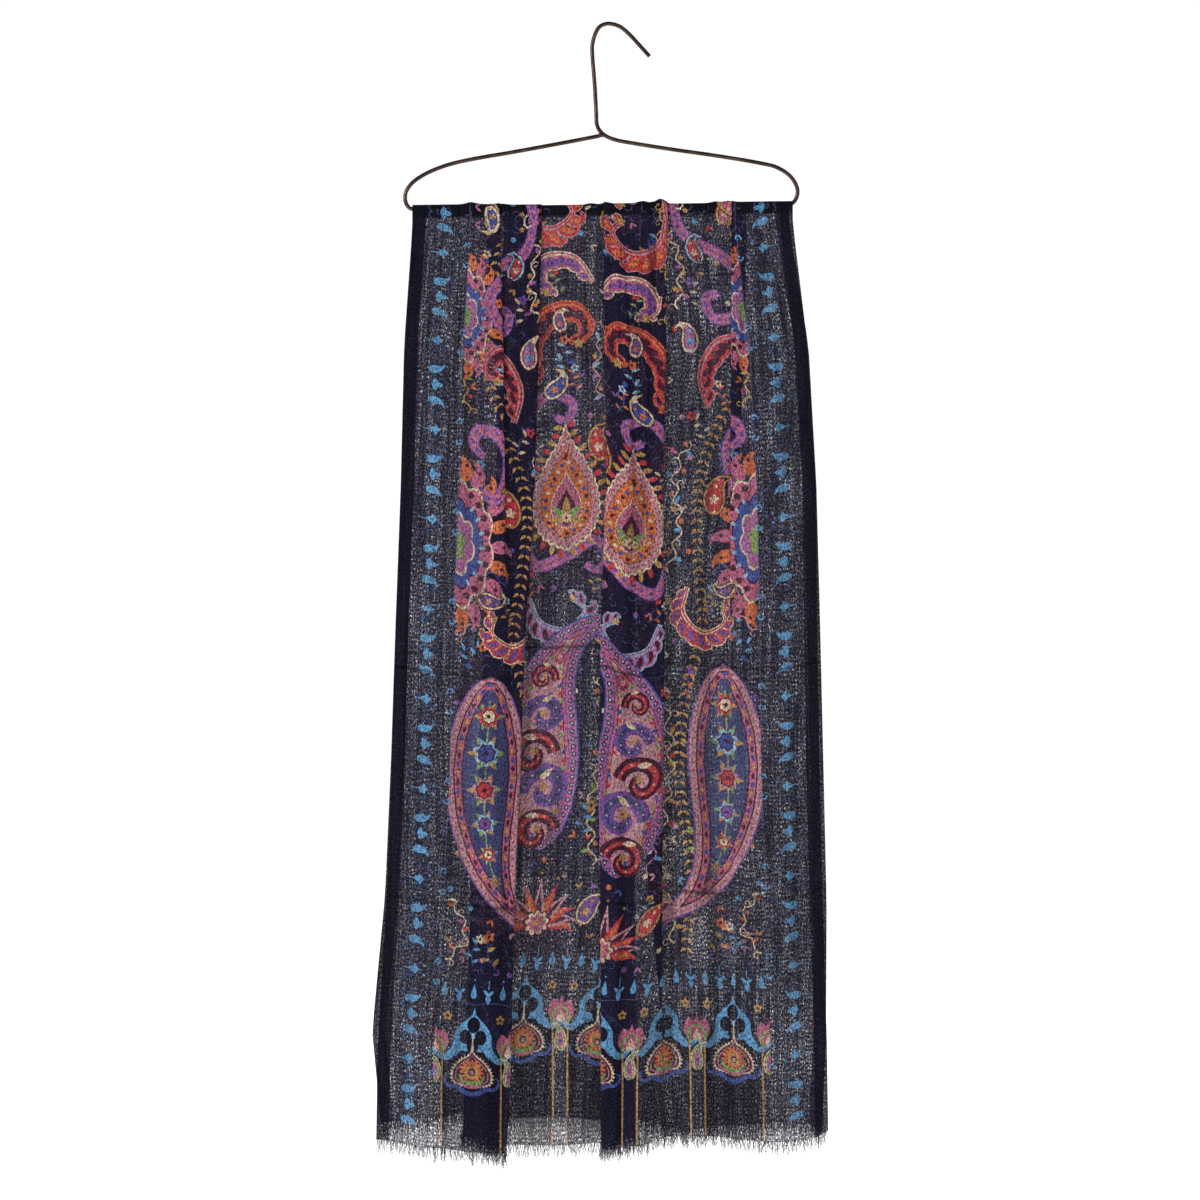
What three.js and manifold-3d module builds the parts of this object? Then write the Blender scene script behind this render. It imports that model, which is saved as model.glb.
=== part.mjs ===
import * as THREE from "three";
import { mergeVertices } from "three/addons/utils/BufferGeometryUtils.js";
import Module from "manifold-3d";

// Pleated scarf folded over the bar of a wire hanger, sizes in mm, Z up, front towards -Y.
// The origin is the inside of the hook's crown, where the hanger rests on a rail.

// Driving sizes
const CLOTH_WIDTH = 700;
const CLOTH_HUNG_LENGTH = 1975;
const WALL = 1.2;
const SEAM = 0.3;
const WIRE_RADIUS = 2.2;
const WIRE_SIDES = 10;
const WIRE_STEPS = 118;
const WELD_RADIUS = 3.0;
const WELD = { x: -7.0, z: -116.6, wide: 1.25, deep: 0.95, high: 0.85 };
const TURN_DEPTH = 16;
const TURN_STEPS = 6;
const LEVEL_BASE = WIRE_RADIUS + SEAM + WALL / 2;
const FALL_DATUM_Z = -192.4;
const DATUM_DEPTH = 200;
const FALL_DEPTH = 1000;
const ROLL_START = 130;
const BEND_STEPS = 3;
const SOFT_STEP_GAP = 0.4;
const BAR_LEFT = { x: -206, z: -196.3 };
const BAR_RIGHT = { x: 190, z: -191.2 };
const STRIP_HEIGHT = 2.6;
const STRAND_COUNT = 118;
const STRAND_RADIUS = 0.55;
const STRAND_TIP_RADIUS = 0.28;
const STRAND_MIN = 9;
const STRAND_MAX = 15.5;
const STRAND_ROOT = 0.9;
const STRAND_EDGE = 3;
const STRAND_DRIFT = { along: 1.1, x: 1.2, y: 0.9 };

// Heights below the bar at which the fold tables give their values
const STATIONS = [20, 150, 300, 450, 600, 750, 900, 1000];

// Outline of each fall: left and right selvedge at each station
const OUTLINE = {
  front: {
    left: [-208.5, -217.0, -220.5, -226.0, -230.0, -236.0, -245.0, -246.5],
    right: [193.5, 212.0, 216.5, 219.5, 223.0, 227.5, 232.5, 234.5],
  },
  back: {
    left: [-208.5, -217.5, -221.5, -227.5, -232.5, -239.0, -253.0, -244.0],
    right: [193.5, 214.5, 223.0, 227.0, 230.5, 234.0, 233.5, 229.0],
  },
};

// Pleats, from left to right. opens: 1 = the left panel lies on top, -1 = the right one does.
// edge: the pleat's edge, lap: cloth hidden under it (below 0 it is a soft step),
// near and far: how far its front and rear layers stand out from the bar's side.
const PLEATS = [
  {
    name: "left_soft",
    opens: 1,
    edge: [-115, -111, -109, -107, -108, -112, -118, -122],
    lap: [15, 9, 3, -7, -11, -13, -15, -16],
    near: [7.2, 10.5, 12.5, 13.5, 15, 16, 18, 19],
    far: [3.6, 6.0, 8.5, 10.5, 12, 13, 14, 15],
  },
  {
    name: "left_deep",
    opens: 1,
    edge: [-70.5, -73.5, -78, -87.5, -93, -99.5, -103, -107.5],
    lap: [40, 37, 38, 39, 40, 41, 41, 40],
    near: [3.6, 6.0, 8.5, 10.5, 12, 13, 14, 15],
    far: [0, 0, 0, 0, 0, 0, 0, 0],
  },
  {
    name: "centre",
    opens: -1,
    edge: [-5, -4, -2, -8, -10.5, -8.5, -8, -7.5],
    lap: [37, 33, 32, 32, 31, 31, 31, 31],
    near: [3.6, 6.0, 8.5, 10.5, 12, 13, 14, 15],
    far: [0, 0, 0, 0, 0, 0, 0, 0],
  },
  {
    name: "right_deep",
    opens: 1,
    edge: [64, 62, 58.5, 60.5, 59, 58, 58, 59],
    lap: [28, 25, 25, 24, 19, 8, -9, -13],
    near: [3.6, 6.0, 8.5, 10.5, 12, 13, 14, 15],
    far: [0, 0, 0, 0, 0, 1, 3, 4],
  },
  {
    name: "right_soft",
    opens: -1,
    edge: [131, 131, 130, 130, 132, 134, 136, 137],
    lap: [16, 12, 5, -7, -10, -12, -12, -12],
    near: [3.6, 5.5, 7.0, 8.0, 8.5, 9.0, 9.0, 9.5],
    far: [0, 0, 0, 1, 2, 2, 3, 3],
  },
];

// Soft rolls down the cloth: across at the top and at the hem, half width,
// and how far each stands out (below 0, to the front) near the top, halfway and at the hem
const ROLLS = [
  { top: -206, hem: -240, wide: 18, out: [0, 3, 6] },
  { top: -170, hem: -190, wide: 16, out: [-2, -3, -6] },
  { top: -135, hem: -160, wide: 14, out: [2, 3, 5] },
  { top: -100, hem: -132, wide: 14, out: [-4, -5, -7] },
  { top: -40, hem: -58, wide: 20, out: [2, 3, 7] },
  { top: 27, hem: 3, wide: 9, out: [-4, -5, -6] },
  { top: 46, hem: 34, wide: 11, out: [3, 3, -6] },
  { top: 62, hem: 62, wide: 11, out: [0, 0, 7] },
  { top: 86, hem: 90, wide: 13, out: [-4, -5, -9] },
  { top: 110, hem: 118, wide: 12, out: [3, 5, 8] },
  { top: 158, hem: 160, wide: 15, out: [-3, -4, -6] },
  { top: 192, hem: 212, wide: 14, out: [2, 3, 6] },
];

// Crests where bunched cloth stands up on the bar
const CRESTS = [
  { x: -146, wide: 7, up: 2.2 },
  { x: -113, wide: 6, up: 1.2 },
  { x: -18, wide: 6, up: 1.5 },
  { x: -3, wide: 5, up: 1.8 },
  { x: 37, wide: 6, up: 2.2 },
  { x: 56, wide: 6, up: 4.4 },
  { x: 115, wide: 6, up: 1.8 },
  { x: 128, wide: 6, up: 2.2 },
];

// Front hem: how far below the bar it hangs at each place across the flat cloth
const HEM = [
  { across: 0, drop: 994 },
  { across: 60, drop: 1001 },
  { across: 100, drop: 1006 },
  { across: 152, drop: 1009 },
  { across: 195, drop: 991 },
  { across: 238, drop: 974 },
  { across: 300, drop: 972 },
  { across: 368, drop: 976 },
  { across: 404, drop: 993 },
  { across: 425, drop: 1001 },
  { across: 450, drop: 1004 },
  { across: 480, drop: 1000 },
  { across: 510, drop: 993 },
  { across: 540, drop: 990 },
  { across: 600, drop: 994 },
  { across: 655, drop: 997 },
  { across: 685, drop: 993 },
  { across: 700, drop: 985 },
];

// Wire, from the hook's tip round to the end that is welded at the neck
const WIRE = [
  { at: "hook tip", x: 44.5, z: -32.9 },
  { at: "hook slope", x: 32.9, z: -20.0 },
  { at: "hook slope", x: 21.9, z: -8.3 },
  { at: "hook crown", x: 12.0, z: -0.6 },
  { at: "hook crown", x: 0, z: 2.2 },
  { at: "hook crown", x: -8.2, z: -0.6 },
  { at: "hook back", x: -13.2, z: -8.0 },
  { at: "hook back", x: -16.6, z: -20.9 },
  { at: "neck", x: -16.6, z: -31.0 },
  { at: "neck", x: -14.2, z: -61.7 },
  { at: "neck", x: -12.5, z: -92.0 },
  { at: "neck foot", x: -11.7, z: -105.5 },
  { at: "neck foot", x: -8.6, z: -112.2 },
  { at: "neck foot", x: -2.4, z: -117.6 },
  { at: "right shoulder", x: 8.0, z: -121.8 },
  { at: "right shoulder", x: 26.7, z: -125.4 },
  { at: "right shoulder", x: 70.4, z: -132.3 },
  { at: "right shoulder", x: 114.5, z: -138.6 },
  { at: "right shoulder", x: 161.5, z: -146.5 },
  { at: "right end", x: 180.3, z: -151.2 },
  { at: "right end", x: 195.4, z: -161.5 },
  { at: "right end", x: 202.2, z: -174.5 },
  { at: "right end", x: 201.0, z: -184.0 },
  { at: "right end", x: 196.6, z: -189.6 },
  { at: "bar", x: 188.0, z: -191.25 },
  { at: "bar", x: 60.0, z: -192.87 },
  { at: "bar", x: -80.0, z: -194.67 },
  { at: "bar", x: -204.0, z: -196.28 },
  { at: "left end", x: -211.8, z: -194.4 },
  { at: "left end", x: -215.7, z: -188.6 },
  { at: "left end", x: -215.8, z: -178.6 },
  { at: "left end", x: -209.4, z: -168.4 },
  { at: "left end", x: -196.3, z: -159.0 },
  { at: "left shoulder", x: -174.2, z: -149.6 },
  { at: "left shoulder", x: -149.2, z: -143.3 },
  { at: "left shoulder", x: -102.0, z: -135.0 },
  { at: "left shoulder", x: -55.0, z: -126.4 },
  { at: "left shoulder", x: -23.5, z: -120.4 },
  { at: "welded end", x: -9.2, z: -117.6 },
];

const wasm = await Module();
wasm.setup();

const clamp = (t) => Math.min(1, Math.max(0, t));
const smooth = (t) => clamp(t) ** 2 * (3 - 2 * clamp(t));
const mix = (a, b, t) => a + (b - a) * t;

// A table's value at a height below the bar
function atStation(values, depth) {
  const last = STATIONS.length - 1;
  let i = 0;
  while (i < last - 1 && depth > STATIONS[i + 1]) i += 1;
  const t = (depth - STATIONS[i]) / (STATIONS[i + 1] - STATIONS[i]);
  return mix(values[i], values[i + 1], clamp(t));
}

function barZ(x) {
  const t = (x - BAR_LEFT.x) / (BAR_RIGHT.x - BAR_LEFT.x);
  return mix(BAR_LEFT.z, BAR_RIGHT.z, t);
}

function rollOut(x, depth) {
  const t = clamp(depth / FALL_DEPTH);
  let out = 0;
  for (const roll of ROLLS) {
    const centre = mix(roll.top, roll.hem, t);
    const [high, half, low] = roll.out;
    const size = t < 0.5 ? mix(high, half, 2 * t) : mix(half, low, 2 * t - 1);
    out += size * Math.exp(-(((x - centre) / roll.wide) ** 2));
  }
  return out * smooth((depth - TURN_DEPTH) / ROLL_START);
}

function crestUp(x) {
  let up = 0;
  for (const crest of CRESTS) {
    up += crest.up * Math.exp(-(((x - crest.x) / crest.wide) ** 2));
  }
  return up;
}

// How far below the bar the hem hangs at a place across the flat cloth
function hemDrop(across) {
  let i = 0;
  while (i < HEM.length - 2 && across > HEM[i + 1].across) i += 1;
  const t = (across - HEM[i].across) / (HEM[i + 1].across - HEM[i].across);
  return mix(HEM[i].drop, HEM[i + 1].drop, smooth(t));
}

// One pleat seen from above, with its left panel on top: front bend, return, rear bend.
// A lap below 0 opens the return into a soft step that much wide.
function pleatPoints(edge, lap, near, far, returns) {
  const height = near - far;
  const turn = 2 * Math.atan2(height, Math.max(-lap, 0));
  const radius = height / (2 * (1 - Math.cos(turn)));
  const straight = lap > 0 ? lap : SOFT_STEP_GAP;
  const points = [];
  let x = edge - radius * Math.sin(Math.min(turn, Math.PI / 2));
  let level = near;
  for (let k = 0; k <= BEND_STEPS; k += 1) {
    const a = (turn * k) / BEND_STEPS;
    points.push([x + radius * Math.sin(a), level - radius * (1 - Math.cos(a))]);
  }
  [x, level] = points[points.length - 1];
  for (let k = 1; k <= returns; k += 1) {
    const s = (straight * k) / returns;
    points.push([x + s * Math.cos(turn), level - s * Math.sin(turn)]);
  }
  [x, level] = points[points.length - 1];
  for (let k = 1; k <= BEND_STEPS; k += 1) {
    const a = turn - (turn * k) / BEND_STEPS;
    const across = radius * (Math.sin(turn) - Math.sin(a));
    const down = radius * (Math.cos(a) - Math.cos(turn));
    points.push([x + across, level - down]);
  }
  return points;
}

// Steps in each pleat's straight return, and in each panel before, between and after the pleats
const RETURNS = { left_soft: 1, left_deep: 3, centre: 3, right_deep: 3, right_soft: 1 };
const PANEL_STEPS = [8, 4, 11, 6, 9, 6];

// The whole section across one fall at a height: [x, level] from selvedge to selvedge
function section(side, depth) {
  const left = atStation(OUTLINE[side].left, depth);
  const right = atStation(OUTLINE[side].right, depth);
  const path = [[left, atStation(PLEATS[0].near, depth)]];
  PLEATS.forEach((pleat, i) => {
    const edge = atStation(pleat.edge, depth);
    const lap = atStation(pleat.lap, depth);
    const near = atStation(pleat.near, depth);
    const far = atStation(pleat.far, depth);
    const mirrored = pleat.opens < 0;
    let points = pleatPoints(mirrored ? -edge : edge, lap, near, far, RETURNS[pleat.name]);
    if (mirrored) points = points.map(([x, level]) => [-x, level]).reverse();
    joinPanel(path, points[0], PANEL_STEPS[i]);
    path.push(...points);
  });
  const last = path[path.length - 1];
  joinPanel(path, [right, last[1]], PANEL_STEPS[PLEATS.length]);
  path.push([right, last[1]]);
  return path;
}

// Steps of a flat panel between the path's end and the next pleat, both left out
function joinPanel(path, next, steps) {
  const [x, level] = path[path.length - 1];
  for (let k = 1; k < steps; k += 1) {
    const t = k / steps;
    path.push([mix(x, next[0], t), mix(level, next[1], smooth(t))]);
  }
}

// Where each point of a section lies across the flat cloth
function acrossCloth(path) {
  const along = [0];
  for (let i = 1; i < path.length; i += 1) {
    const step = Math.hypot(path[i][0] - path[i - 1][0], path[i][1] - path[i - 1][1]);
    along.push(along[i - 1] + step);
  }
  const total = along[along.length - 1];
  return along.map((s) => (s / total) * CLOTH_WIDTH);
}

// The two faces of the wall about a path of [x, y]
function wallFaces(path) {
  const outer = [];
  const inner = [];
  path.forEach((point, i) => {
    const before = path[Math.max(i - 1, 0)];
    const after = path[Math.min(i + 1, path.length - 1)];
    const inWay = new THREE.Vector2(point[0] - before[0], point[1] - before[1]).normalize();
    const outWay = new THREE.Vector2(after[0] - point[0], after[1] - point[1]).normalize();
    const way = inWay.add(outWay).normalize();
    const bend = i > 0 && i < path.length - 1 ? Math.abs(outWay.dot(way)) : 1;
    const reach = WALL / 2 / Math.max(bend, 0.8);
    outer.push([point[0] - way.y * reach, point[1] + way.x * reach]);
    inner.push([point[0] + way.y * reach, point[1] - way.x * reach]);
  });
  return { outer, inner };
}

// A closed wall from rows of points, each row with an outer and an inner face
function wallGeometry(rows) {
  const columns = rows[0].outer.length;
  const positions = [];
  for (const row of rows) {
    for (const point of row.outer) positions.push(...point);
    for (const point of row.inner) positions.push(...point);
  }
  const outer = (r, c) => r * columns * 2 + c;
  const inner = (r, c) => r * columns * 2 + columns + c;
  const faces = [];
  const quad = (a, b, c, d) => faces.push(a, b, c, a, c, d);
  const lastRow = rows.length - 1;
  const lastColumn = columns - 1;
  for (let r = 0; r < lastRow; r += 1) {
    for (let c = 0; c < lastColumn; c += 1) {
      quad(outer(r, c), outer(r + 1, c), outer(r + 1, c + 1), outer(r, c + 1));
      quad(inner(r, c), inner(r, c + 1), inner(r + 1, c + 1), inner(r + 1, c));
    }
    quad(outer(r, 0), inner(r, 0), inner(r + 1, 0), outer(r + 1, 0));
    quad(outer(r, lastColumn), outer(r + 1, lastColumn), inner(r + 1, lastColumn), inner(r, lastColumn));
  }
  for (let c = 0; c < lastColumn; c += 1) {
    quad(outer(0, c), outer(0, c + 1), inner(0, c + 1), inner(0, c));
    quad(outer(lastRow, c), inner(lastRow, c), inner(lastRow, c + 1), outer(lastRow, c + 1));
  }
  const geometry = new THREE.BufferGeometry();
  geometry.setAttribute("position", new THREE.Float32BufferAttribute(positions, 3));
  geometry.setIndex(faces);
  return geometry;
}

// The height of a point that hangs this far below the bar, which slopes a little
function fallZ(x, depth) {
  return mix(barZ(x), FALL_DATUM_Z, smooth(depth / DATUM_DEPTH)) - depth;
}

function hemOf(side, across) {
  return side === "front" ? hemDrop(across) : CLOTH_HUNG_LENGTH - hemDrop(across);
}

// One row of a fall: share runs from 0 at the turn to 1 at the hem, extra goes past the hem
function fallRow(side, share, extra = 0) {
  const meanDepth = mix(TURN_DEPTH, FALL_DEPTH, share);
  const path = section(side, meanDepth);
  const across = acrossCloth(path);
  const sign = side === "front" ? -1 : 1;
  const faces = wallFaces(path);
  const place = ([x, level], i) => {
    const depth = mix(TURN_DEPTH, hemOf(side, across[i]), share) + extra;
    const y = sign * (LEVEL_BASE + level) + rollOut(path[i][0], meanDepth);
    return [x, y, fallZ(path[i][0], depth)];
  };
  const outer = faces.outer.map(place);
  const inner = faces.inner.map(place);
  return side === "front" ? { outer, inner } : { outer: inner, inner: outer };
}

const FRONT_SHARES = [0, 0.04, 0.11, 0.2, 0.31, 0.42, 0.53, 0.64, 0.74, 0.83, 0.92, 1];
const BACK_SHARES = [0, 0.05, 0.14, 0.26, 0.39, 0.53, 0.67, 0.79, 0.9, 1];

function fall(side, shares) {
  return wallGeometry(shares.map((share) => fallRow(side, share)));
}

// The stretch over the bar: the top section carried round the bar, layer outside layer
function barTurn() {
  const path = section("front", TURN_DEPTH);
  const { outer, inner } = wallFaces(path);
  const stops = [{ down: TURN_DEPTH - SEAM, a: 0 }];
  for (let k = 0; k <= TURN_STEPS - 2; k += 1) {
    stops.push({ down: 0, a: (Math.PI * k) / (TURN_STEPS - 2) });
  }
  stops.push({ down: TURN_DEPTH - SEAM, a: Math.PI });
  const rows = stops.map(({ down, a }) => {
    const place = ([x, level], i) => {
      const reach = LEVEL_BASE + level;
      const up = (reach + crestUp(path[i][0])) * Math.sin(a);
      return [x, -reach * Math.cos(a), fallZ(path[i][0], down) + up];
    };
    return { outer: outer.map(place), inner: inner.map(place) };
  });
  rows.reverse();
  return wallGeometry(rows);
}

// Solids for joins
function solid(geometry) {
  const plain = geometry.clone();
  plain.deleteAttribute("normal");
  plain.deleteAttribute("uv");
  const merged = mergeVertices(plain, 1e-4);
  return new wasm.Manifold(
    new wasm.Mesh({
      numProp: 3,
      vertProperties: new Float32Array(merged.attributes.position.array),
      triVerts: new Uint32Array(merged.index.array),
    }),
  );
}

function toGeometry(manifold) {
  const mesh = manifold.getMesh();
  const geometry = new THREE.BufferGeometry();
  const array = new Float32Array(mesh.vertProperties);
  geometry.setAttribute("position", new THREE.BufferAttribute(array, 3));
  geometry.setIndex(new THREE.BufferAttribute(new Uint32Array(mesh.triVerts), 1));
  return geometry;
}

// A repeatable unevenness between -1 and 1
function uneven(n, salt) {
  const s = Math.sin(n * 12.9898 + salt * 78.233) * 43758.5453;
  return 2 * (s - Math.floor(s)) - 1;
}

// A three-sided strand that narrows from its root to its tip
function strand(root, tip) {
  const positions = [];
  for (const [end, r] of [[root, STRAND_RADIUS], [tip, STRAND_TIP_RADIUS]]) {
    for (let k = 0; k < 3; k += 1) {
      const a = (2 * Math.PI * k) / 3;
      positions.push(end[0] + r * Math.cos(a), end[1] + r * Math.sin(a), end[2]);
    }
  }
  const faces = [0, 1, 2, 3, 5, 4];
  for (let k = 0; k < 3; k += 1) {
    const n = (k + 1) % 3;
    faces.push(k, 3 + k, 3 + n, k, 3 + n, n);
  }
  const geometry = new THREE.BufferGeometry();
  geometry.setAttribute("position", new THREE.Float32BufferAttribute(positions, 3));
  geometry.setIndex(faces);
  return geometry;
}

// The fringe of one hem: a narrow strip just under the wall's edge, with its strands
function fringe(side, salt) {
  const strip = wallGeometry([fallRow(side, 1, SEAM), fallRow(side, 1, SEAM + STRIP_HEIGHT)]);
  const path = section(side, FALL_DEPTH);
  const across = acrossCloth(path);
  const rolls = path.map(([x]) => rollOut(x, FALL_DEPTH));
  const sign = side === "front" ? -1 : 1;
  const strands = [];
  let c = 0;
  for (let n = 0; n < STRAND_COUNT; n += 1) {
    const share = (n + 0.5) / STRAND_COUNT;
    const even = mix(STRAND_EDGE, CLOTH_WIDTH - STRAND_EDGE, share);
    const where = even + STRAND_DRIFT.along * uneven(n, salt);
    while (c < path.length - 2 && across[c + 1] < where) c += 1;
    const t = (where - across[c]) / (across[c + 1] - across[c]);
    const x = mix(path[c][0], path[c + 1][0], t);
    const level = mix(path[c][1], path[c + 1][1], t);
    const y = sign * (LEVEL_BASE + level) + mix(rolls[c], rolls[c + 1], t);
    const depth = mix(hemOf(side, across[c]), hemOf(side, across[c + 1]), t);
    const top = fallZ(x, depth + SEAM + STRIP_HEIGHT - STRAND_ROOT);
    const length = mix(STRAND_MIN, STRAND_MAX, 0.5 + 0.5 * uneven(n, salt + 3));
    const tipX = x + STRAND_DRIFT.x * uneven(n, salt + 5);
    const tipY = y + STRAND_DRIFT.y * uneven(n, salt + 7);
    strands.push(solid(strand([x, y, top], [tipX, tipY, top - length])));
  }
  return toGeometry(wasm.Manifold.union([solid(strip), ...strands]));
}

// The wire of the hanger, one tube with a weld where its end meets the neck
function hanger() {
  const points = WIRE.map(({ x, z }) => new THREE.Vector3(x, 0, z));
  const curve = new THREE.CatmullRomCurve3(points, false, "centripetal");
  const ring = new THREE.Shape();
  for (let k = 0; k < WIRE_SIDES; k += 1) {
    const a = (2 * Math.PI * k) / WIRE_SIDES;
    const x = WIRE_RADIUS * Math.cos(a);
    const y = WIRE_RADIUS * Math.sin(a);
    if (k === 0) ring.moveTo(x, y);
    else ring.lineTo(x, y);
  }
  ring.closePath();
  const tube = new THREE.ExtrudeGeometry(ring, {
    steps: WIRE_STEPS,
    bevelEnabled: false,
    extrudePath: curve,
  });
  const weld = new THREE.SphereGeometry(WELD_RADIUS, 12, 8);
  weld.scale(WELD.wide, WELD.deep, WELD.high);
  weld.translate(WELD.x, 0, WELD.z);
  return toGeometry(solid(tube).add(solid(weld)));
}

const METAL = { color: 0x3a2a24, metalness: 0.8, roughness: 0.4 };
const CLOTH = { color: 0x1c1c30, metalness: 0, roughness: 0.8 };

const group = new THREE.Group();
group.name = "scarf_on_hanger";

function add(name, geometry, look) {
  const mesh = new THREE.Mesh(geometry, new THREE.MeshStandardMaterial(look));
  mesh.name = name;
  group.add(mesh);
}

add("hanger_wire", hanger(), METAL);
add("front_fall", fall("front", FRONT_SHARES), CLOTH);
add("bar_turn", barTurn(), CLOTH);
add("back_fall", fall("back", BACK_SHARES), CLOTH);
add("front_fringe", fringe("front", 1), CLOTH);
add("back_fringe", fringe("back", 2), CLOTH);

export default group;
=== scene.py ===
import math

import bpy
import numpy as np
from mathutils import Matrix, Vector
from mathutils.geometry import delaunay_2d_cdt


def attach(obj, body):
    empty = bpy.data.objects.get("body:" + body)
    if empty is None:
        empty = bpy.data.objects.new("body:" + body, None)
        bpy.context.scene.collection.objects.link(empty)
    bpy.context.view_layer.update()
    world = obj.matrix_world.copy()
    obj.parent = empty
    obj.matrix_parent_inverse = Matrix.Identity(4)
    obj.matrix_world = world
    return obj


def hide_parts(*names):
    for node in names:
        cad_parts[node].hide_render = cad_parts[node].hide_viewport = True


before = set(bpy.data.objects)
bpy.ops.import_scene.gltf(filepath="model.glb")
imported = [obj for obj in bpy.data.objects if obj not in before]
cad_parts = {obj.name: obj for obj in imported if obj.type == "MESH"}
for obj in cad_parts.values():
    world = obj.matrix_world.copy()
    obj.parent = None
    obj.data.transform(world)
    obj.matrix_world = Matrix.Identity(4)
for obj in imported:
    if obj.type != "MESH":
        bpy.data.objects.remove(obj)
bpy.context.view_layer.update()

# Hanger: one length of dark bronze lacquered steel wire of 4.4 mm, bent into hook, neck, shoulders
# and bar. Its free end is welded at the neck. Sizes are in mm, x to the right and z up.
MM = 0.001
WIRE_RADIUS = 2.2
WIRE_SIDES = 20
WIRE_LINE = [
    (44.5, -32.9), (32.9, -20.0), (21.9, -8.3), (12.0, -0.6), (0, 2.2), (-8.2, -0.6), (-13.2, -8.0),
    (-16.6, -20.9), (-16.6, -31.0), (-14.2, -61.7), (-12.5, -92.0), (-11.7, -105.5), (-8.6, -112.2),
    (-2.4, -117.6), (8.0, -121.8), (26.7, -125.4), (70.4, -132.3), (114.5, -138.6), (161.5, -146.5),
    (180.3, -151.2), (195.4, -161.5), (202.2, -174.5), (201.0, -184.0), (196.6, -189.6),
    (188.0, -191.25), (60.0, -192.87), (-80.0, -194.67), (-204.0, -196.28), (-211.8, -194.4),
    (-215.7, -188.6), (-215.8, -178.6), (-209.4, -168.4), (-196.3, -159.0), (-174.2, -149.6),
    (-149.2, -143.3), (-102.0, -135.0), (-55.0, -126.4), (-23.5, -120.4), (-9.2, -117.6),
]
WIRE_STEP = 2.0
WELD = {"place": (-7.0, 0, -116.6), "size": (3.8, 2.9, 2.6)}
# The wire's ends are rounded off: the radius of the first rings as shares of the whole, and
# where two more rings stand on the first step
END_RADII = (0.62, 0.86, 1.0)
END_RINGS = (0.12, 0.4)


def linear(red, green, blue, alpha=1.0):
    """A colour in 0 to 255 steps, as a screen shows it, turned into light values."""
    light = [
        ((c / 255 + 0.055) / 1.055) ** 2.4 if c > 10 else c / 255 / 12.92
        for c in (red, green, blue)
    ]
    return (*light, alpha)


def new_material(name):
    """A fresh node material and its shader."""
    material = bpy.data.materials.new(name)
    material.use_nodes = True
    return material, material.node_tree.nodes["Principled BSDF"]


def node(tree, kind, **settings):
    """Adds a node and sets its properties and sockets by name."""
    made = tree.nodes.new(kind)
    for key, value in settings.items():
        if hasattr(made, key):
            setattr(made, key, value)
        else:
            made.inputs[key.replace("_", " ")].default_value = value
    return made


def ramp(tree, source, low, high, dark=0.0, light=1.0):
    """Stretches a value between low and high to dark and light."""
    made = tree.nodes.new("ShaderNodeMapRange")
    made.interpolation_type = "SMOOTHSTEP"
    limits = {"From Min": low, "From Max": high, "To Min": dark, "To Max": light}
    for socket, value in limits.items():
        made.inputs[socket].default_value = value
    tree.links.new(source, made.inputs["Value"])
    return made.outputs["Result"]


bronze, bronze_shader = new_material("bronze_wire")
wire_tree = bronze.node_tree
wire_place = node(wire_tree, "ShaderNodeTexCoord")
wire_grain = node(wire_tree, "ShaderNodeTexNoise", Scale=900.0, Detail=4.0)
wire_wear = node(wire_tree, "ShaderNodeTexNoise", Scale=60.0, Detail=3.0)
wire_colour = node(wire_tree, "ShaderNodeMix", data_type="RGBA")
wire_colour.inputs["A"].default_value = linear(52, 37, 33)
wire_colour.inputs["B"].default_value = linear(82, 62, 54)
wire_bump = node(wire_tree, "ShaderNodeBump", Strength=0.12, Distance=0.0002)
for texture in (wire_grain, wire_wear):
    wire_tree.links.new(wire_place.outputs["Object"], texture.inputs["Vector"])
wire_worn = ramp(wire_tree, wire_wear.outputs["Fac"], 0.4, 0.72)
wire_tree.links.new(wire_worn, wire_colour.inputs["Factor"])
wire_tree.links.new(wire_colour.outputs["Result"], bronze_shader.inputs["Base Color"])
wire_rough = ramp(wire_tree, wire_grain.outputs["Fac"], 0.3, 0.7, 0.26, 0.38)
wire_tree.links.new(wire_rough, bronze_shader.inputs["Roughness"])
wire_tree.links.new(wire_grain.outputs["Fac"], wire_bump.inputs["Height"])
wire_tree.links.new(wire_bump.outputs["Normal"], bronze_shader.inputs["Normal"])
bronze_shader.inputs["Metallic"].default_value = 0.7


def between(t, start, start_place, end, end_place):
    """The place at t on the straight way from one place to another."""
    return (end - t) / (end - start) * start_place + (t - start) / (end - start) * end_place


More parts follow.
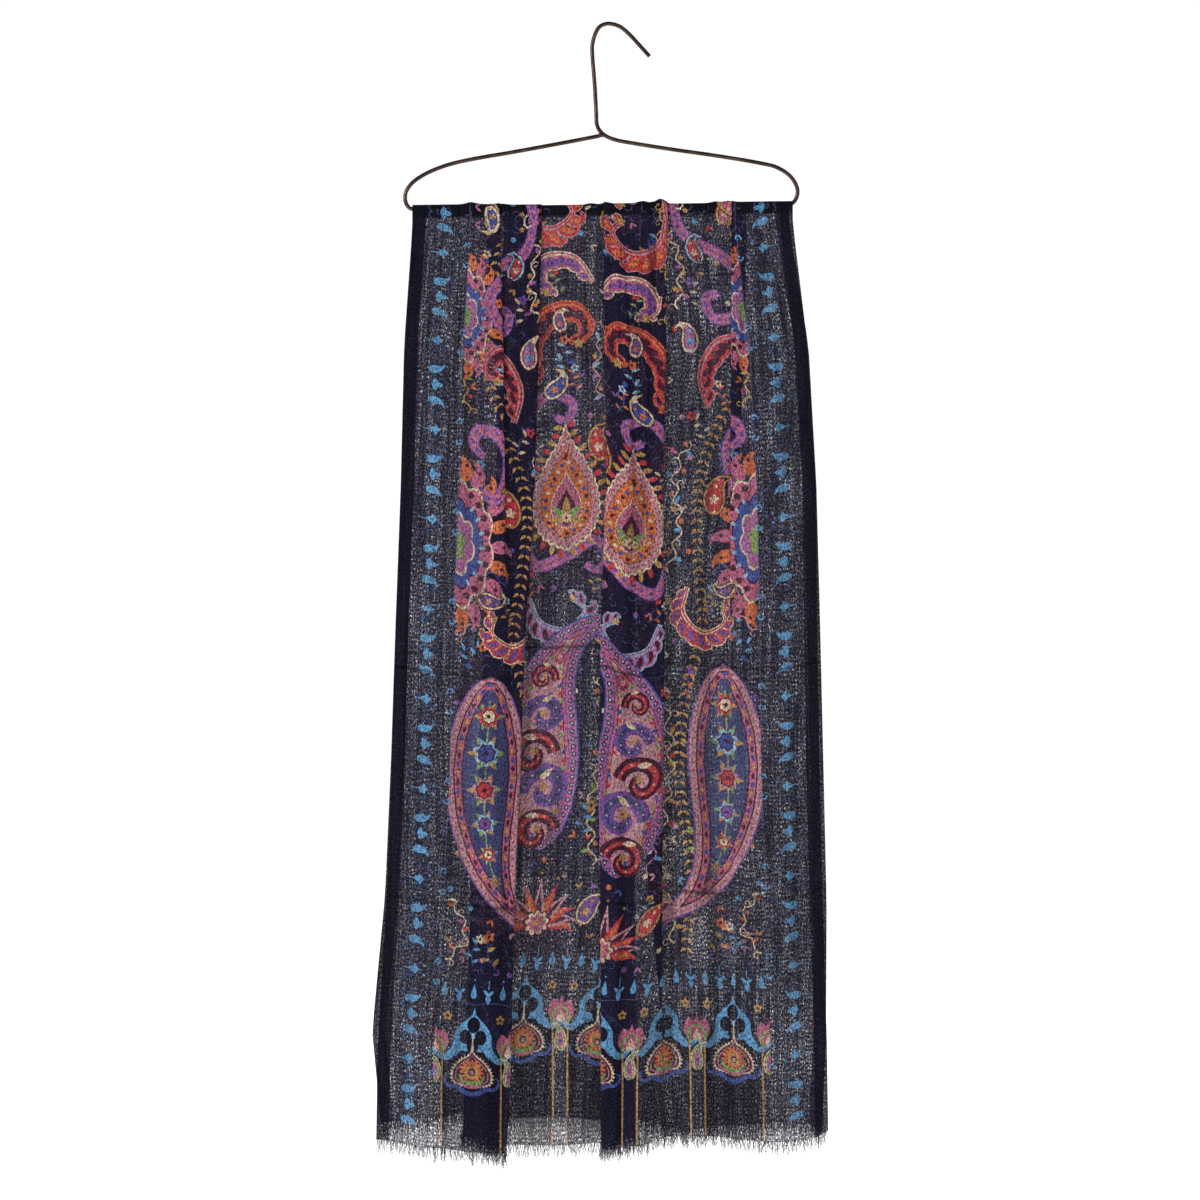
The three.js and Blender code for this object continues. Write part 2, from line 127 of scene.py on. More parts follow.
def bent_wire():
    """Points along the wire: a smooth curve through its bends, closer together at its two ends."""
    bends = np.array(WIRE_LINE)
    bends = np.vstack([2 * bends[0] - bends[1], bends, 2 * bends[-1] - bends[-2]])
    knots = np.concatenate([[0], np.cumsum(np.hypot(*np.diff(bends, axis=0).T) ** 0.5)])
    line = []
    for k in range(1, len(bends) - 2):
        t0, t1, t2, t3 = knots[k - 1:k + 3]
        p0, p1, p2, p3 = bends[k - 1:k + 3]
        steps = max(3, int(np.hypot(*(p2 - p1)) / WIRE_STEP))
        t = np.linspace(t1, t2, steps, endpoint=False)[:, None]
        a1 = between(t, t0, p0, t1, p1)
        a2 = between(t, t1, p1, t2, p2)
        a3 = between(t, t2, p2, t3, p3)
        b1 = between(t, t0, a1, t2, a2)
        b2 = between(t, t1, a2, t3, a3)
        line.append(between(t, t1, b1, t2, b2))
    line = np.vstack([*line, bends[-2:-1]])
    first, last = line[1] - line[0], line[-2] - line[-1]
    close, wider = END_RINGS
    line = np.vstack([
        line[:1], line[0] + first * close, line[0] + first * wider, line[1:-1],
        line[-1] + last * wider, line[-1] + last * close, line[-1:],
    ])
    return np.column_stack([line[:, 0], np.zeros(len(line)), line[:, 1]])


def form_tree(name, sockets):
    """A geometry nodes tree with named inputs. Gives it, its way in and its way out."""
    tree = bpy.data.node_groups.new(name, "GeometryNodeTree")
    new_socket = tree.interface.new_socket
    new_socket("Geometry", in_out="INPUT", socket_type="NodeSocketGeometry")
    for label, kind in sockets:
        new_socket(label, in_out="INPUT", socket_type="NodeSocket" + kind)
    new_socket("Geometry", in_out="OUTPUT", socket_type="NodeSocketGeometry")
    return tree, tree.nodes.new("NodeGroupInput"), tree.nodes.new("NodeGroupOutput")


def end_form(tree, geometry, finish, end):
    """Ends a geometry nodes tree with a plain, smooth mesh in its finish."""
    for kind in ("RealizeInstances", "SetShadeSmooth", "SetMaterial"):
        step = tree.nodes.new("GeometryNode" + kind)
        tree.links.new(geometry, step.inputs["Geometry"])
        geometry = step.outputs["Geometry"]
    tree.links.new(finish, step.inputs["Material"])
    tree.links.new(geometry, end.inputs["Geometry"])


def wire_form():
    """Geometry nodes: a round wire along a line, its ends rounded off, with a bead of weld."""
    tree, start, end = form_tree("bent_wire", (
        ("Radius", "Float"), ("Sides", "Int"), ("Weld place", "Vector"),
        ("Weld size", "Vector"), ("Finish", "Material"),
    ))
    link = tree.links.new
    line = tree.nodes.new("GeometryNodeMeshToCurve")
    taper = tree.nodes.new("GeometryNodeSetCurveRadius")
    share = node(tree, "GeometryNodeInputNamedAttribute", data_type="FLOAT", Name="thickness")
    ring = tree.nodes.new("GeometryNodeCurvePrimitiveCircle")
    tube = node(tree, "GeometryNodeCurveToMesh", Fill_Caps=True)
    link(start.outputs["Geometry"], line.inputs["Mesh"])
    link(line.outputs["Curve"], taper.inputs["Curve"])
    link(share.outputs["Attribute"], taper.inputs["Radius"])
    link(start.outputs["Sides"], ring.inputs["Resolution"])
    link(start.outputs["Radius"], ring.inputs["Radius"])
    link(taper.outputs["Curve"], tube.inputs["Curve"])
    link(ring.outputs["Curve"], tube.inputs["Profile Curve"])
    bead = node(tree, "GeometryNodeMeshUVSphere", Segments=20, Rings=12, Radius=1.0)
    placed = tree.nodes.new("GeometryNodeTransform")
    link(bead.outputs["Mesh"], placed.inputs["Geometry"])
    link(start.outputs["Weld place"], placed.inputs["Translation"])
    link(start.outputs["Weld size"], placed.inputs["Scale"])
    both = tree.nodes.new("GeometryNodeJoinGeometry")
    link(tube.outputs["Mesh"], both.inputs["Geometry"])
    link(placed.outputs["Geometry"], both.inputs["Geometry"])
    end_form(tree, both.outputs["Geometry"], start.outputs["Finish"], end)
    return tree


def set_input(modifier, name, value):
    """Sets a geometry nodes input by its socket's identifier."""
    for item in modifier.node_group.interface.items_tree:
        if item.item_type == "SOCKET" and item.in_out == "INPUT" and item.name == name:
            modifier[item.identifier] = value


def in_scene(name, data):
    """A new object in the scene, at the origin."""
    made = bpy.data.objects.new(name, data)
    bpy.context.scene.collection.objects.link(made)
    return made


def guide_line(name, points):
    """A mesh with edges alone, for a tree to build along."""
    guide = bpy.data.meshes.new(name)
    guide.from_pydata(points.tolist(), [(k, k + 1) for k in range(len(points) - 1)], [])
    return guide


def grown(name, guide, tree, inputs):
    """Runs a geometry nodes tree on a guide mesh and keeps the result as a plain mesh."""
    holder = in_scene(name + "_guide", guide)
    modifier = holder.modifiers.new(name, "NODES")
    modifier.node_group = tree
    for key, value in inputs.items():
        set_input(modifier, key, value)
    bpy.context.view_layer.update()
    evaluated = holder.evaluated_get(bpy.context.evaluated_depsgraph_get())
    mesh = bpy.data.meshes.new_from_object(evaluated)
    mesh.name = name
    bpy.data.objects.remove(holder)
    return in_scene(name, mesh)


def fit(piece, solid):
    """Puts a piece in its solid's place, hiding the solid, on the one body."""
    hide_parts(solid)
    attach(piece, "root")


wire_points = bent_wire() * MM
wire_guide = guide_line("wire_guide", wire_points)
thickness = np.ones(len(wire_points))
thickness[[0, 1, 2]] = thickness[[-1, -2, -3]] = END_RADII
thickness_layer = wire_guide.attributes.new("thickness", "FLOAT", "POINT")
thickness_layer.data.foreach_set("value", thickness.astype(np.float32))
hanger = grown("bent_bronze_wire", wire_guide, wire_form(), {
    "Radius": WIRE_RADIUS * MM, "Sides": WIRE_SIDES, "Finish": bronze,
    "Weld place": [MM * v for v in WELD["place"]], "Weld size": [MM * v for v in WELD["size"]],
})
fit(hanger, "hanger_wire")

# Cloth: one woven length of light navy wool, sheer, with a printed paisley design, 700 mm wide
# and nearly 2 m long. It is folded over the bar at its middle, gathered into three knife pleats
# and two soft ones that open towards the hems. Sizes are in mm, as in the solids.
CLOTH_WIDTH = 700
HALF_WIDTH = CLOTH_WIDTH / 2
HUNG_LENGTH = 1975
CREST_CLOTH = 6
CLOTH_LENGTH = HUNG_LENGTH + 2 * CREST_CLOTH
TURN_DEPTH = 16
FALL_DEPTH = 1000
LEVEL_BASE = 3.1
FALL_DATUM_Z = -192.4
DATUM_DEPTH = 200
ROLL_START = 130
SOFT_STEP_GAP = 0.4
TOP_PRESS = 0.62
TOP_PRESS_DEPTH = 150
CREST_PRESS = 0.45
BAR_X = (-206, 190)
BAR_Z = (-196.3, -191.2)

STATIONS = [20, 150, 300, 450, 600, 750, 900, 1000]
OUTLINE = {
    "front": {
        "left": [-208.5, -217.0, -220.5, -226.0, -230.0, -236.0, -245.0, -246.5],
        "right": [197.0, 212.5, 221.0, 222.5, 225.0, 228.5, 233.0, 234.5],
    },
    "back": {
        "left": [-208.5, -217.5, -221.5, -227.5, -232.5, -239.0, -253.0, -244.0],
        "right": [193.5, 214.5, 223.0, 227.0, 230.5, 234.0, 233.5, 229.0],
    },
}
UNDER_TWO = [3.6, 6.0, 8.5, 10.5, 12, 13, 14, 15]
FLAT = [0, 0, 0, 0, 0, 0, 0, 0]
# opens: 1 = the left panel lies on top, -1 = the right one does. edge: where the pleat's edge
# hangs, lap: cloth hidden under it (below 0 it is a soft step), near and far: its two levels
PLEATS = [
    {
        "opens": 1,
        "edge": [-115, -111, -109, -107, -108, -112, -118, -122],
        "lap": [15, 9, 3, -7, -11, -13, -15, -16],
        "near": [7.2, 10.5, 12.5, 13.5, 15, 16, 18, 19],
        "far": UNDER_TWO,
    },
    {
        "opens": 1,
        "edge": [-70.5, -73.5, -78, -87.5, -93, -99.5, -103, -107.5],
        "lap": [40, 37, 38, 39, 40, 41, 41, 40],
        "near": UNDER_TWO,
        "far": FLAT,
    },
    {
        "opens": -1,
        "edge": [-5, -4, -2, -8, -10.5, -8.5, -8, -7.5],
        "lap": [37, 33, 32, 32, 31, 31, 31, 31],
        "near": UNDER_TWO,
        "far": FLAT,
    },
    {
        "opens": 1,
        "edge": [64, 62, 58.5, 60.5, 59, 58, 58, 59],
        "lap": [28, 25, 25, 24, 19, 8, -9, -13],
        "near": UNDER_TWO,
        "far": [0, 0, 0, 0, 0, 1, 3, 4],
    },
    {
        "opens": -1,
        "edge": [131, 131, 130, 130, 132, 134, 136, 137],
        "lap": [16, 12, 5, -7, -10, -12, -12, -12],
        "near": [3.6, 5.5, 7.0, 8.0, 8.5, 9.0, 9.0, 9.5],
        "far": [0, 0, 0, 1, 2, 2, 3, 3],
    },
]
# Soft rolls down the cloth: where at the top and at the hem, half width, and how far each
# stands out (below 0, to the front) near the top, halfway and at the hem
ROLLS = [
    {"top": -206, "hem": -240, "wide": 18, "out": [0, 3, 6]},
    {"top": -170, "hem": -190, "wide": 16, "out": [-2, -3, -6]},
    {"top": -135, "hem": -160, "wide": 14, "out": [2, 3, 5]},
    {"top": -100, "hem": -132, "wide": 14, "out": [-4, -5, -7]},
    {"top": -40, "hem": -58, "wide": 20, "out": [2, 3, 7]},
    {"top": 27, "hem": 3, "wide": 9, "out": [-4, -5, -6]},
    {"top": 46, "hem": 34, "wide": 11, "out": [3, 3, -6]},
    {"top": 62, "hem": 62, "wide": 11, "out": [0, 0, 7]},
    {"top": 86, "hem": 90, "wide": 13, "out": [-4, -5, -9]},
    {"top": 110, "hem": 118, "wide": 12, "out": [3, 5, 8]},
    {"top": 158, "hem": 160, "wide": 15, "out": [-3, -4, -6]},
    {"top": 192, "hem": 212, "wide": 14, "out": [2, 3, 6]},
]
# Crests where bunched cloth stands up on the bar: where, half width, height
CRESTS = [
    (-146, 7, 2.2), (-113, 6, 1.2), (-18, 6, 1.5), (-3, 5, 1.8),
    (37, 6, 2.2), (56, 6, 4.4), (115, 6, 1.8), (128, 6, 2.2),
]
# Front hem: places across the flat cloth, and how far below the bar it hangs at each
FRONT_HEM = [
    (0, 994), (60, 1001), (100, 1006), (152, 1009), (195, 991), (238, 974), (300, 972),
    (368, 976), (404, 993), (425, 1001), (450, 1004), (480, 1000), (510, 993), (540, 990),
    (600, 994), (655, 997), (685, 993), (700, 985),
]
# Lesser creases, listed one by one: x and depth where each starts and where it ends, half width,
# and how far it stands out (below 0, to the front)
CREASES = {
    "front": [
        (-188, 30, -196, 420, 5, 1.6), (-158, 20, -176, 260, 4, -1.5), (-90, 18, -84, 210, 4, -1.4),
        (-128, 60, -146, 520, 5, -1.6), (-58, 20, -60, 190, 4, 1.2), (-24, 20, -28, 300, 4, -1.3),
        (12, 16, 10, 170, 3, -1.5), (20, 16, 30, 330, 3, 1.4), (43, 16, 40, 240, 3, -1.8),
        (52, 20, 52, 150, 3, 1.5), (78, 16, 74, 360, 4, -1.7), (96, 30, 104, 280, 4, 1.4),
        (148, 18, 142, 230, 4, 1.5), (172, 30, 184, 380, 5, -1.5), (-214, 380, -226, 820, 5, -1.5),
        (-196, 560, -214, 985, 6, 1.9), (-150, 640, -170, 990, 6, -1.8),
        (-116, 700, -150, 990, 5, 1.5), (-76, 420, -84, 900, 5, -1.5),
        (-34, 520, -40, 980, 6, -1.8), (-18, 760, -24, 975, 4, 1.5), (20, 480, 14, 940, 5, 1.6),
        (72, 520, 78, 990, 5, -1.7), (104, 640, 108, 995, 5, -1.6), (146, 460, 150, 900, 6, 1.6),
        (178, 600, 184, 985, 6, -1.7), (200, 420, 206, 880, 5, 1.5),
        (-230, 690, -238, 705, 9, -2.2), (-222, 900, -206, 985, 7, -2.0),
    ],
    "back": [
        (-190, 24, -200, 380, 5, -1.6), (-150, 20, -168, 300, 4, 1.4),
        (-118, 60, -140, 480, 5, 1.6), (-84, 18, -80, 230, 4, 1.4), (-48, 30, -56, 320, 5, -1.4),
        (-20, 20, -24, 260, 4, 1.5), (24, 18, 26, 300, 3, -1.5), (48, 18, 46, 200, 3, 1.6),
        (84, 30, 88, 340, 4, 1.4), (120, 24, 128, 280, 4, -1.5), (160, 20, 170, 400, 5, 1.5),
        (-206, 500, -222, 960, 6, -1.7), (-160, 560, -176, 985, 6, 1.8),
        (-66, 480, -72, 900, 5, 1.6), (-30, 600, -38, 980, 5, -1.5), (30, 520, 24, 960, 5, 1.6),
        (96, 560, 104, 990, 5, 1.7), (150, 520, 158, 980, 6, -1.6), (190, 440, 202, 940, 5, 1.6),
    ],
}
CREASE_DEPTH = 1.8
CREASE_FADE = 0.22
COLUMN_STEP = 0.5
ROW_STEP = 8
BEND_POINTS = 9
PANEL_POINTS = 24
# Keeps a place in a table of sections short of its last row and column
TABLE_EDGE = 1.001


def smoothstep(t):
    """From 0 to 1 with a soft start and a soft end."""
    t = np.clip(t, 0, 1)
    return t * t * (3 - 2 * t)


def mix(a, b, t):
    return a + (b - a) * t


def pleat_path(edge, lap, near, far):
    """One pleat seen from above with its left panel on top: front bend, return, rear bend."""
    height = near - far
    turn = 2 * math.atan2(height, max(-lap, 0))
    radius = height / (2 * (1 - math.cos(turn)))
    straight = lap if lap > 0 else SOFT_STEP_GAP
    start = edge - radius * math.sin(min(turn, math.pi / 2))
    a = np.linspace(0, turn, BEND_POINTS)
    front_bend = np.column_stack([start + radius * np.sin(a), near - radius * (1 - np.cos(a))])
    foot = front_bend[-1] + straight * np.array([math.cos(turn), -math.sin(turn)])
    back = turn - a
    rear_x = foot[0] + radius * (math.sin(turn) - np.sin(back))
    rear_level = foot[1] - radius * (np.cos(back) - math.cos(turn))
    return np.vstack([front_bend, np.column_stack([rear_x, rear_level])])


def panel_path(start, end):
    """The stretch of cloth between two pleats."""
    t = np.linspace(0, 1, PANEL_POINTS)[1:-1]
    return np.column_stack([mix(start[0], end[0], t), mix(start[1], end[1], smoothstep(t))])


def section(side, depth):
    """Where the cloth runs across one fall at a height: x and level from selvedge to selvedge."""
    press = mix(TOP_PRESS, 1, smoothstep(depth / TOP_PRESS_DEPTH))
    left = np.interp(depth, STATIONS, OUTLINE[side]["left"])
    right = np.interp(depth, STATIONS, OUTLINE[side]["right"])
    pieces = [np.array([[left, press * np.interp(depth, STATIONS, PLEATS[0]["near"])]])]
    for pleat in PLEATS:
        edge, lap, near, far = (
            np.interp(depth, STATIONS, pleat[size]) for size in ("edge", "lap", "near", "far")
        )
        if pleat["opens"] > 0:
            path = pleat_path(edge, lap, press * near, press * far)
        else:
            path = (pleat_path(-edge, lap, press * near, press * far) * [-1, 1])[::-1]
        pieces += [panel_path(pieces[-1][-1], path[0]), path]
    end = np.array([[right, pieces[-1][-1][1]]])
    pieces += [panel_path(pieces[-1][-1], end[0]), end]
    return np.vstack(pieces)


COLUMNS = np.arange(0, CLOTH_WIDTH + COLUMN_STEP, COLUMN_STEP)
ROWS = np.arange(TURN_DEPTH, FALL_DEPTH + ROW_STEP, ROW_STEP)


def run_along(path):
    """How far along a path each of its points lies."""
    return np.concatenate([[0], np.cumsum(np.hypot(*np.diff(path, axis=0).T))])


def section_table(side):
    """x and level for each row of heights and each place across the flat cloth."""
    table = np.empty((len(ROWS), len(COLUMNS), 2))
    for r, depth in enumerate(ROWS):
        path = section(side, depth)
        along = run_along(path)
        along *= CLOTH_WIDTH / along[-1]
        table[r, :, 0] = np.interp(COLUMNS, along, path[:, 0])
        table[r, :, 1] = np.interp(COLUMNS, along, path[:, 1])
    return table


SECTIONS = {"front": section_table("front"), "back": section_table("back")}


def from_table(side, across, depth):
    """x and level between the table's rows and columns."""
    r = np.clip((depth - ROWS[0]) / ROW_STEP, 0, len(ROWS) - TABLE_EDGE)
    c = np.clip(across / COLUMN_STEP, 0, len(COLUMNS) - TABLE_EDGE)
    row, column = r.astype(int), c.astype(int)
    down, over = (r - row)[:, None], (c - column)[:, None]
    table = SECTIONS[side]
    upper = mix(table[row, column], table[row, column + 1], over)
    lower = mix(table[row + 1, column], table[row + 1, column + 1], over)
    return mix(upper, lower, down).T


def hem_drop(side, across):
    """How far below the bar the hem hangs."""
    places, drops = np.array(FRONT_HEM).T
    i = np.clip(np.searchsorted(places, across, side="right") - 1, 0, len(places) - 2)
    t = (across - places[i]) / (places[i + 1] - places[i])
    drop = mix(drops[i], drops[i + 1], smoothstep(t))
    return drop if side == "front" else HUNG_LENGTH - drop


def roll_out(x, depth):
    """How far the soft rolls push the cloth back or forth."""
    t = np.clip(depth / FALL_DEPTH, 0, 1)
    out = np.zeros_like(x)
    for roll in ROLLS:
        size = np.interp(t, [0, 0.5, 1], roll["out"])
        out += size * np.exp(-(((x - mix(roll["top"], roll["hem"], t)) / roll["wide"]) ** 2))
    return out * smoothstep((depth - TURN_DEPTH) / ROLL_START)


def crease_out(side, x, depth):
    """How far the lesser creases push it."""
    out = np.zeros_like(x)
    for start_x, start, end_x, end, wide, size in CREASES[side]:
        t = (depth - start) / (end - start)
        ends = smoothstep(t / CREASE_FADE) * smoothstep((1 - t) / CREASE_FADE)
        out += CREASE_DEPTH * size * ends * np.exp(-(((x - mix(start_x, end_x, t)) / wide) ** 2))
    return out


def crest_up(x):
    """How far bunched cloth stands up on the bar."""
    return sum(up * np.exp(-(((x - centre) / wide) ** 2)) for centre, wide, up in CRESTS)


def hang(side, across, up):
    """Places in mm of cloth points: across from the left selvedge, up from that side's hem."""
    drop = hem_drop(side, across)
    depth = drop - up
    mean = mix(TURN_DEPTH, FALL_DEPTH, (depth - TURN_DEPTH) / (drop - TURN_DEPTH))
    mean = np.maximum(mean, TURN_DEPTH)
    x, level = from_table(side, across, mean)
    round_bar = np.clip(-depth / CREST_CLOTH, 0, 1) * math.pi / 2
    reach = LEVEL_BASE + level
    sign = -1 if side == "front" else 1
    y = sign * reach * np.cos(round_bar) + roll_out(x, mean) + crease_out(side, x, mean)
    down = np.maximum(depth, 0)
    bar_z = mix(BAR_Z[0], BAR_Z[1], (x - BAR_X[0]) / (BAR_X[1] - BAR_X[0]))
    top = mix(bar_z, FALL_DATUM_Z, smoothstep(down / DATUM_DEPTH))
    z = top - down + (LEVEL_BASE + CREST_PRESS * level + crest_up(x)) * np.sin(round_bar)
    return np.column_stack([x, y, z])


# The print's inks, as colours in 0 to 255 steps, and how open the cloth looks under each: the
# ground lets most light through its weave, a printed motif less, the doubled selvedge hardly any
INK = {
    "ground": (10, 9, 15, 1.0),
    "hem_ground": (8, 7, 10, 0.55),
    "selvedge": (11, 11, 23, 0.17),
    "slate": (58, 62, 98, 0.8),
    "blue": (84, 134, 172, 0.45),
    "pale_blue": (128, 158, 178, 0.5),
    "cobalt": (56, 72, 132, 0.55),
    "violet": (104, 70, 130, 0.55),
    "orchid": (150, 92, 132, 0.5),
    "pink": (162, 88, 110, 0.5),
    "rose": (168, 122, 128, 0.5),
    "coral": (168, 56, 54, 0.5),
    "orange": (180, 96, 54, 0.5),
    "mustard": (164, 124, 68, 0.5),
    "cream": (192, 170, 142, 0.5),
    "green": (116, 138, 78, 0.5),
    "maroon": (66, 25, 32, 0.6),
    "grey": (150, 154, 156, 0.5),
}
# Places of the print: across from the cloth's middle line, and up from the hem. Its plain
# panels reach a little past the cloth on every side
CURVE_STEP = 4.4
FIELD_EDGE = 288
SELVEDGE_EDGE = 336
HEM_BORDER_TOP = 186
MID_LENGTH = CLOTH_LENGTH / 2
PANEL_FOOT = -4
PANEL_TOP = 1200
PANEL_SIDE = 351
print_shapes = []


def ink(shape, colour):
    """Prints a closed outline over what is there."""
    print_shapes.append((np.asarray(shape, float), colour))


def ink_pair(shape, colour):
    """Prints a shape and its mirror image about the cloth's middle line."""
    ink(shape, colour)
    ink(np.asarray(shape) * [-1, 1], colour)


def tall_panel(left, right):
    """A plain strip of the cloth from below its hem to past its middle."""
    return [(left, PANEL_FOOT), (right, PANEL_FOOT), (right, PANEL_TOP), (left, PANEL_TOP)]


def put(shape, s, t, lean=0.0):
    """Moves a motif to its place, leaning clockwise by some degrees."""
    c, k = math.cos(math.radians(lean)), math.sin(math.radians(lean))
    x, y = np.asarray(shape, float).T
    return np.column_stack([s + x * c + y * k, t - x * k + y * c])


def smooth_line(points, step=CURVE_STEP):
    """A smooth curve through a few points, at even steps."""
    p = np.asarray(points, float)
    padded = np.vstack([2 * p[0] - p[1], p, 2 * p[-1] - p[-2]])
    t = np.linspace(0, 1, 13)[:, None]
    curve = []
    for a, b, c, d in zip(padded, padded[1:], padded[2:], padded[3:]):
        bend = 2 * b + (c - a) * t
        bend = bend + (2 * a - 5 * b + 4 * c - d) * t**2 + (3 * b - a - 3 * c + d) * t**3
        curve.append(0.5 * bend[:-1])
    curve = np.vstack([*curve, p[-1:]])
    along = run_along(curve)
    even = np.linspace(0, along[-1], max(4, int(along[-1] / step) + 1))
    return np.column_stack([np.interp(even, along, curve[:, k]) for k in (0, 1)])


def ribbon(line, widths):
    """A strip along a line, with its widths at even stations."""
    line = np.asarray(line, float)
    way = np.gradient(line, axis=0)
    way /= np.hypot(*way.T)[:, None] + 1e-9
    v = np.linspace(0, 1, len(line))
    half = np.interp(v, np.linspace(0, 1, len(widths)), widths)[:, None] / 2
    side = np.column_stack([-way[:, 1], way[:, 0]]) * half
    return np.vstack([line + side, (line - side)[::-1]])


def disc(radius, points=8):
    """A round dot about the origin."""
    a = np.linspace(0, 2 * math.pi, points, endpoint=False)
    return radius * np.column_stack([np.sin(a), np.cos(a)])


def bloom(radius, petals, cut=0.45, points=6):
    """A flower's outline with round petals."""
    a = np.linspace(0, 2 * math.pi, petals * points, endpoint=False)
    r = radius * (1 - cut + cut * np.abs(np.cos(petals * a / 2)))
    return np.column_stack([r * np.sin(a), r * np.cos(a)])


def drop_shape(length, width, points=12):
    """A tear drop with its tip up, about its middle."""
    a = np.linspace(0, 2 * math.pi, points, endpoint=False)
    return np.column_stack([width / 1.3 * np.sin(a) * np.sin(a / 2) ** 2, length / 2 * np.cos(a)])


def leaf_shape(length, width, bend=0.0, points=5):
    """A leaf from its foot up, bent to one side."""
    v = np.linspace(0, 1, points)
    line = np.column_stack([bend * v**2, length * v])
    wide = width * np.sin(math.pi * v[1:-1]) ** 0.8
    side = np.column_stack([wide / 2, 0 * wide])
    return np.vstack([line[:1], line[1:-1] + side, line[-1:], (line[1:-1] - side)[::-1]])


def scroll_line(size, turns=1.1, hand=1, step=CURVE_STEP):
    """A spiral from its foot at the origin, going up and curling in."""
    v = np.linspace(0, 1, max(6, int(size * turns * 2.2 / step)))
    r = size / 2 * (1 - 0.82 * v)
    a = 2 * math.pi * turns * v
    return np.column_stack([hand * (size / 2 - r * np.cos(a)), r * np.sin(a)])


# A boteh: how wide it is from its round foot to its tip, as shares of its greatest width, and
# how late its tip curls in
BOTEH_AT = [0, 0.02, 0.06, 0.13, 0.22, 0.33, 0.46, 0.6, 0.74, 0.87, 1]
BOTEH_WIDTH = [0, 0.3, 0.54, 0.77, 0.94, 1, 0.92, 0.7, 0.42, 0.2, 0.05]
BOTEH_HOOK = 3.2


def boteh(s, t, length, width, lean, curl, inset=0.0):
    """A boteh's outline from its foot, or one set inside it by an even margin."""
    v = np.linspace(0, 1, max(9, int(length / CURVE_STEP))) ** 1.5
    heading = np.radians(lean + curl * v**BOTEH_HOOK)
    step = length * np.diff(v, prepend=0)
    line = np.column_stack([np.cumsum(np.sin(heading) * step), np.cumsum(np.cos(heading) * step)])
    wide = width * np.interp(v, BOTEH_AT, BOTEH_WIDTH)
    wide[0] = width * 0.06
    keep = (wide > 2 * inset + 0.3) & (v * length > 0.8 * inset)
    line, wide = line[keep] + [s, t], wide[keep] - 2 * inset
    return ribbon(line, wide)


def boteh_point(s, t, length, lean, curl, v):
    """A point on a boteh's middle line, and which way it heads there."""
    vs = np.linspace(0, v, 40)
    heading = np.radians(lean + curl * vs**BOTEH_HOOK)
    step = length * v / 39
    x, y = s + np.sin(heading).sum() * step, t + np.cos(heading).sum() * step
    return x, y, math.degrees(heading[-1])


def spaced(line, gap, offset=0.5):
    """Points at even gaps along a line, with the heading at each."""
    line = np.asarray(line, float)
    along = run_along(line)
    places = np.arange(offset * gap, along[-1], gap)
    x, y = (np.interp(places, along, line[:, k]) for k in (0, 1))
    way = np.gradient(line, axis=0)
    heading = np.degrees(np.arctan2(*(np.interp(places, along, way[:, k]) for k in (0, 1))))
    return list(zip(x, y, heading))


def rimmed(outline):
    """The outline closed on itself, to set beads along it."""
    return np.vstack([outline, outline[:1]])


def sprig(s, t, lean, size, leaf, bud, hand=1):
    """A short stem with paired leaves and a flower at its end."""
    stem = put(smooth_line([(0, 0), (hand * size * 0.16, size * 0.5), (0, size)], 5), s, t, lean)
    ink_pair(ribbon(stem, [1.5, 1.0]), "slate")
    for k, (x, y, heading) in enumerate(spaced(stem, size * 0.24)):
        way = 1 if k % 2 else -1
        ink_pair(put(leaf_shape(size * 0.28, size * 0.12, way * 2), x, y, heading + way * 55), leaf)
    x, y = stem[-1]
    ink_pair(put(bloom(size * 0.18, 5, 0.45, 4), x, y, lean), bud)
    ink_pair(put(disc(size * 0.06, 5), x, y), "maroon")


def vine(points, colour, leaf, bud, width=2.4, gap=13):
    """A wavy stem with curls, leaves and buds on alternate sides."""
    line = smooth_line(points)
    way = np.gradient(line, axis=0)
    way /= np.hypot(*way.T)[:, None]
    wave = 0.34 * gap * np.sin(math.pi * CURVE_STEP / gap * np.arange(len(line)))
    line = line + np.column_stack([-way[:, 1], way[:, 0]]) * wave[:, None]
    ink_pair(ribbon(line, [width, width, width * 0.6]), colour)
    for k, (x, y, heading) in enumerate(spaced(line, gap)):
        way = 1 if k % 2 else -1
        if k % 3 == 0:
            curl = put(scroll_line(gap * 0.8, 0.9, way), x, y, heading + way * 20)
            ink_pair(ribbon(curl, [width * 0.7, width * 0.5, width * 0.5]), colour)
        elif k % 3 == 1:
            blade = leaf_shape(gap * 0.8, gap * 0.36, way * 2)
            ink_pair(put(blade, x, y, heading + way * 50), leaf)
        else:
            turn = math.radians(heading)
            x, y = x + way * 5 * math.cos(turn), y - way * 5 * math.sin(turn)
            ink_pair(put(bloom(gap * 0.26, 5, 0.45, 4), x, y), bud)


def small_boteh(s, t, length, lean, curl, outer, body, heart):
    """A little boteh with a rim, a body and a flower at its heart."""
    width = length * 0.42
    ink_pair(boteh(s, t, length, width, lean, curl, -1.2), "maroon")
    for inset, colour in ((0, outer), (2.2, "ground"), (3.2, body)):
        ink_pair(boteh(s, t, length, width, lean, curl, inset), colour)
    x, y, heading = boteh_point(s, t, length, lean, curl, 0.3)
    ink_pair(put(bloom(width * 0.24, 5, 0.45, 4), x, y, heading), heart)
    for v, size in ((0.08, 0.06), (0.55, 0.1), (0.68, 0.06)):
        x, y, _ = boteh_point(s, t, length, lean, curl, v)
        ink_pair(put(disc(width * size, 5), x, y), heart)


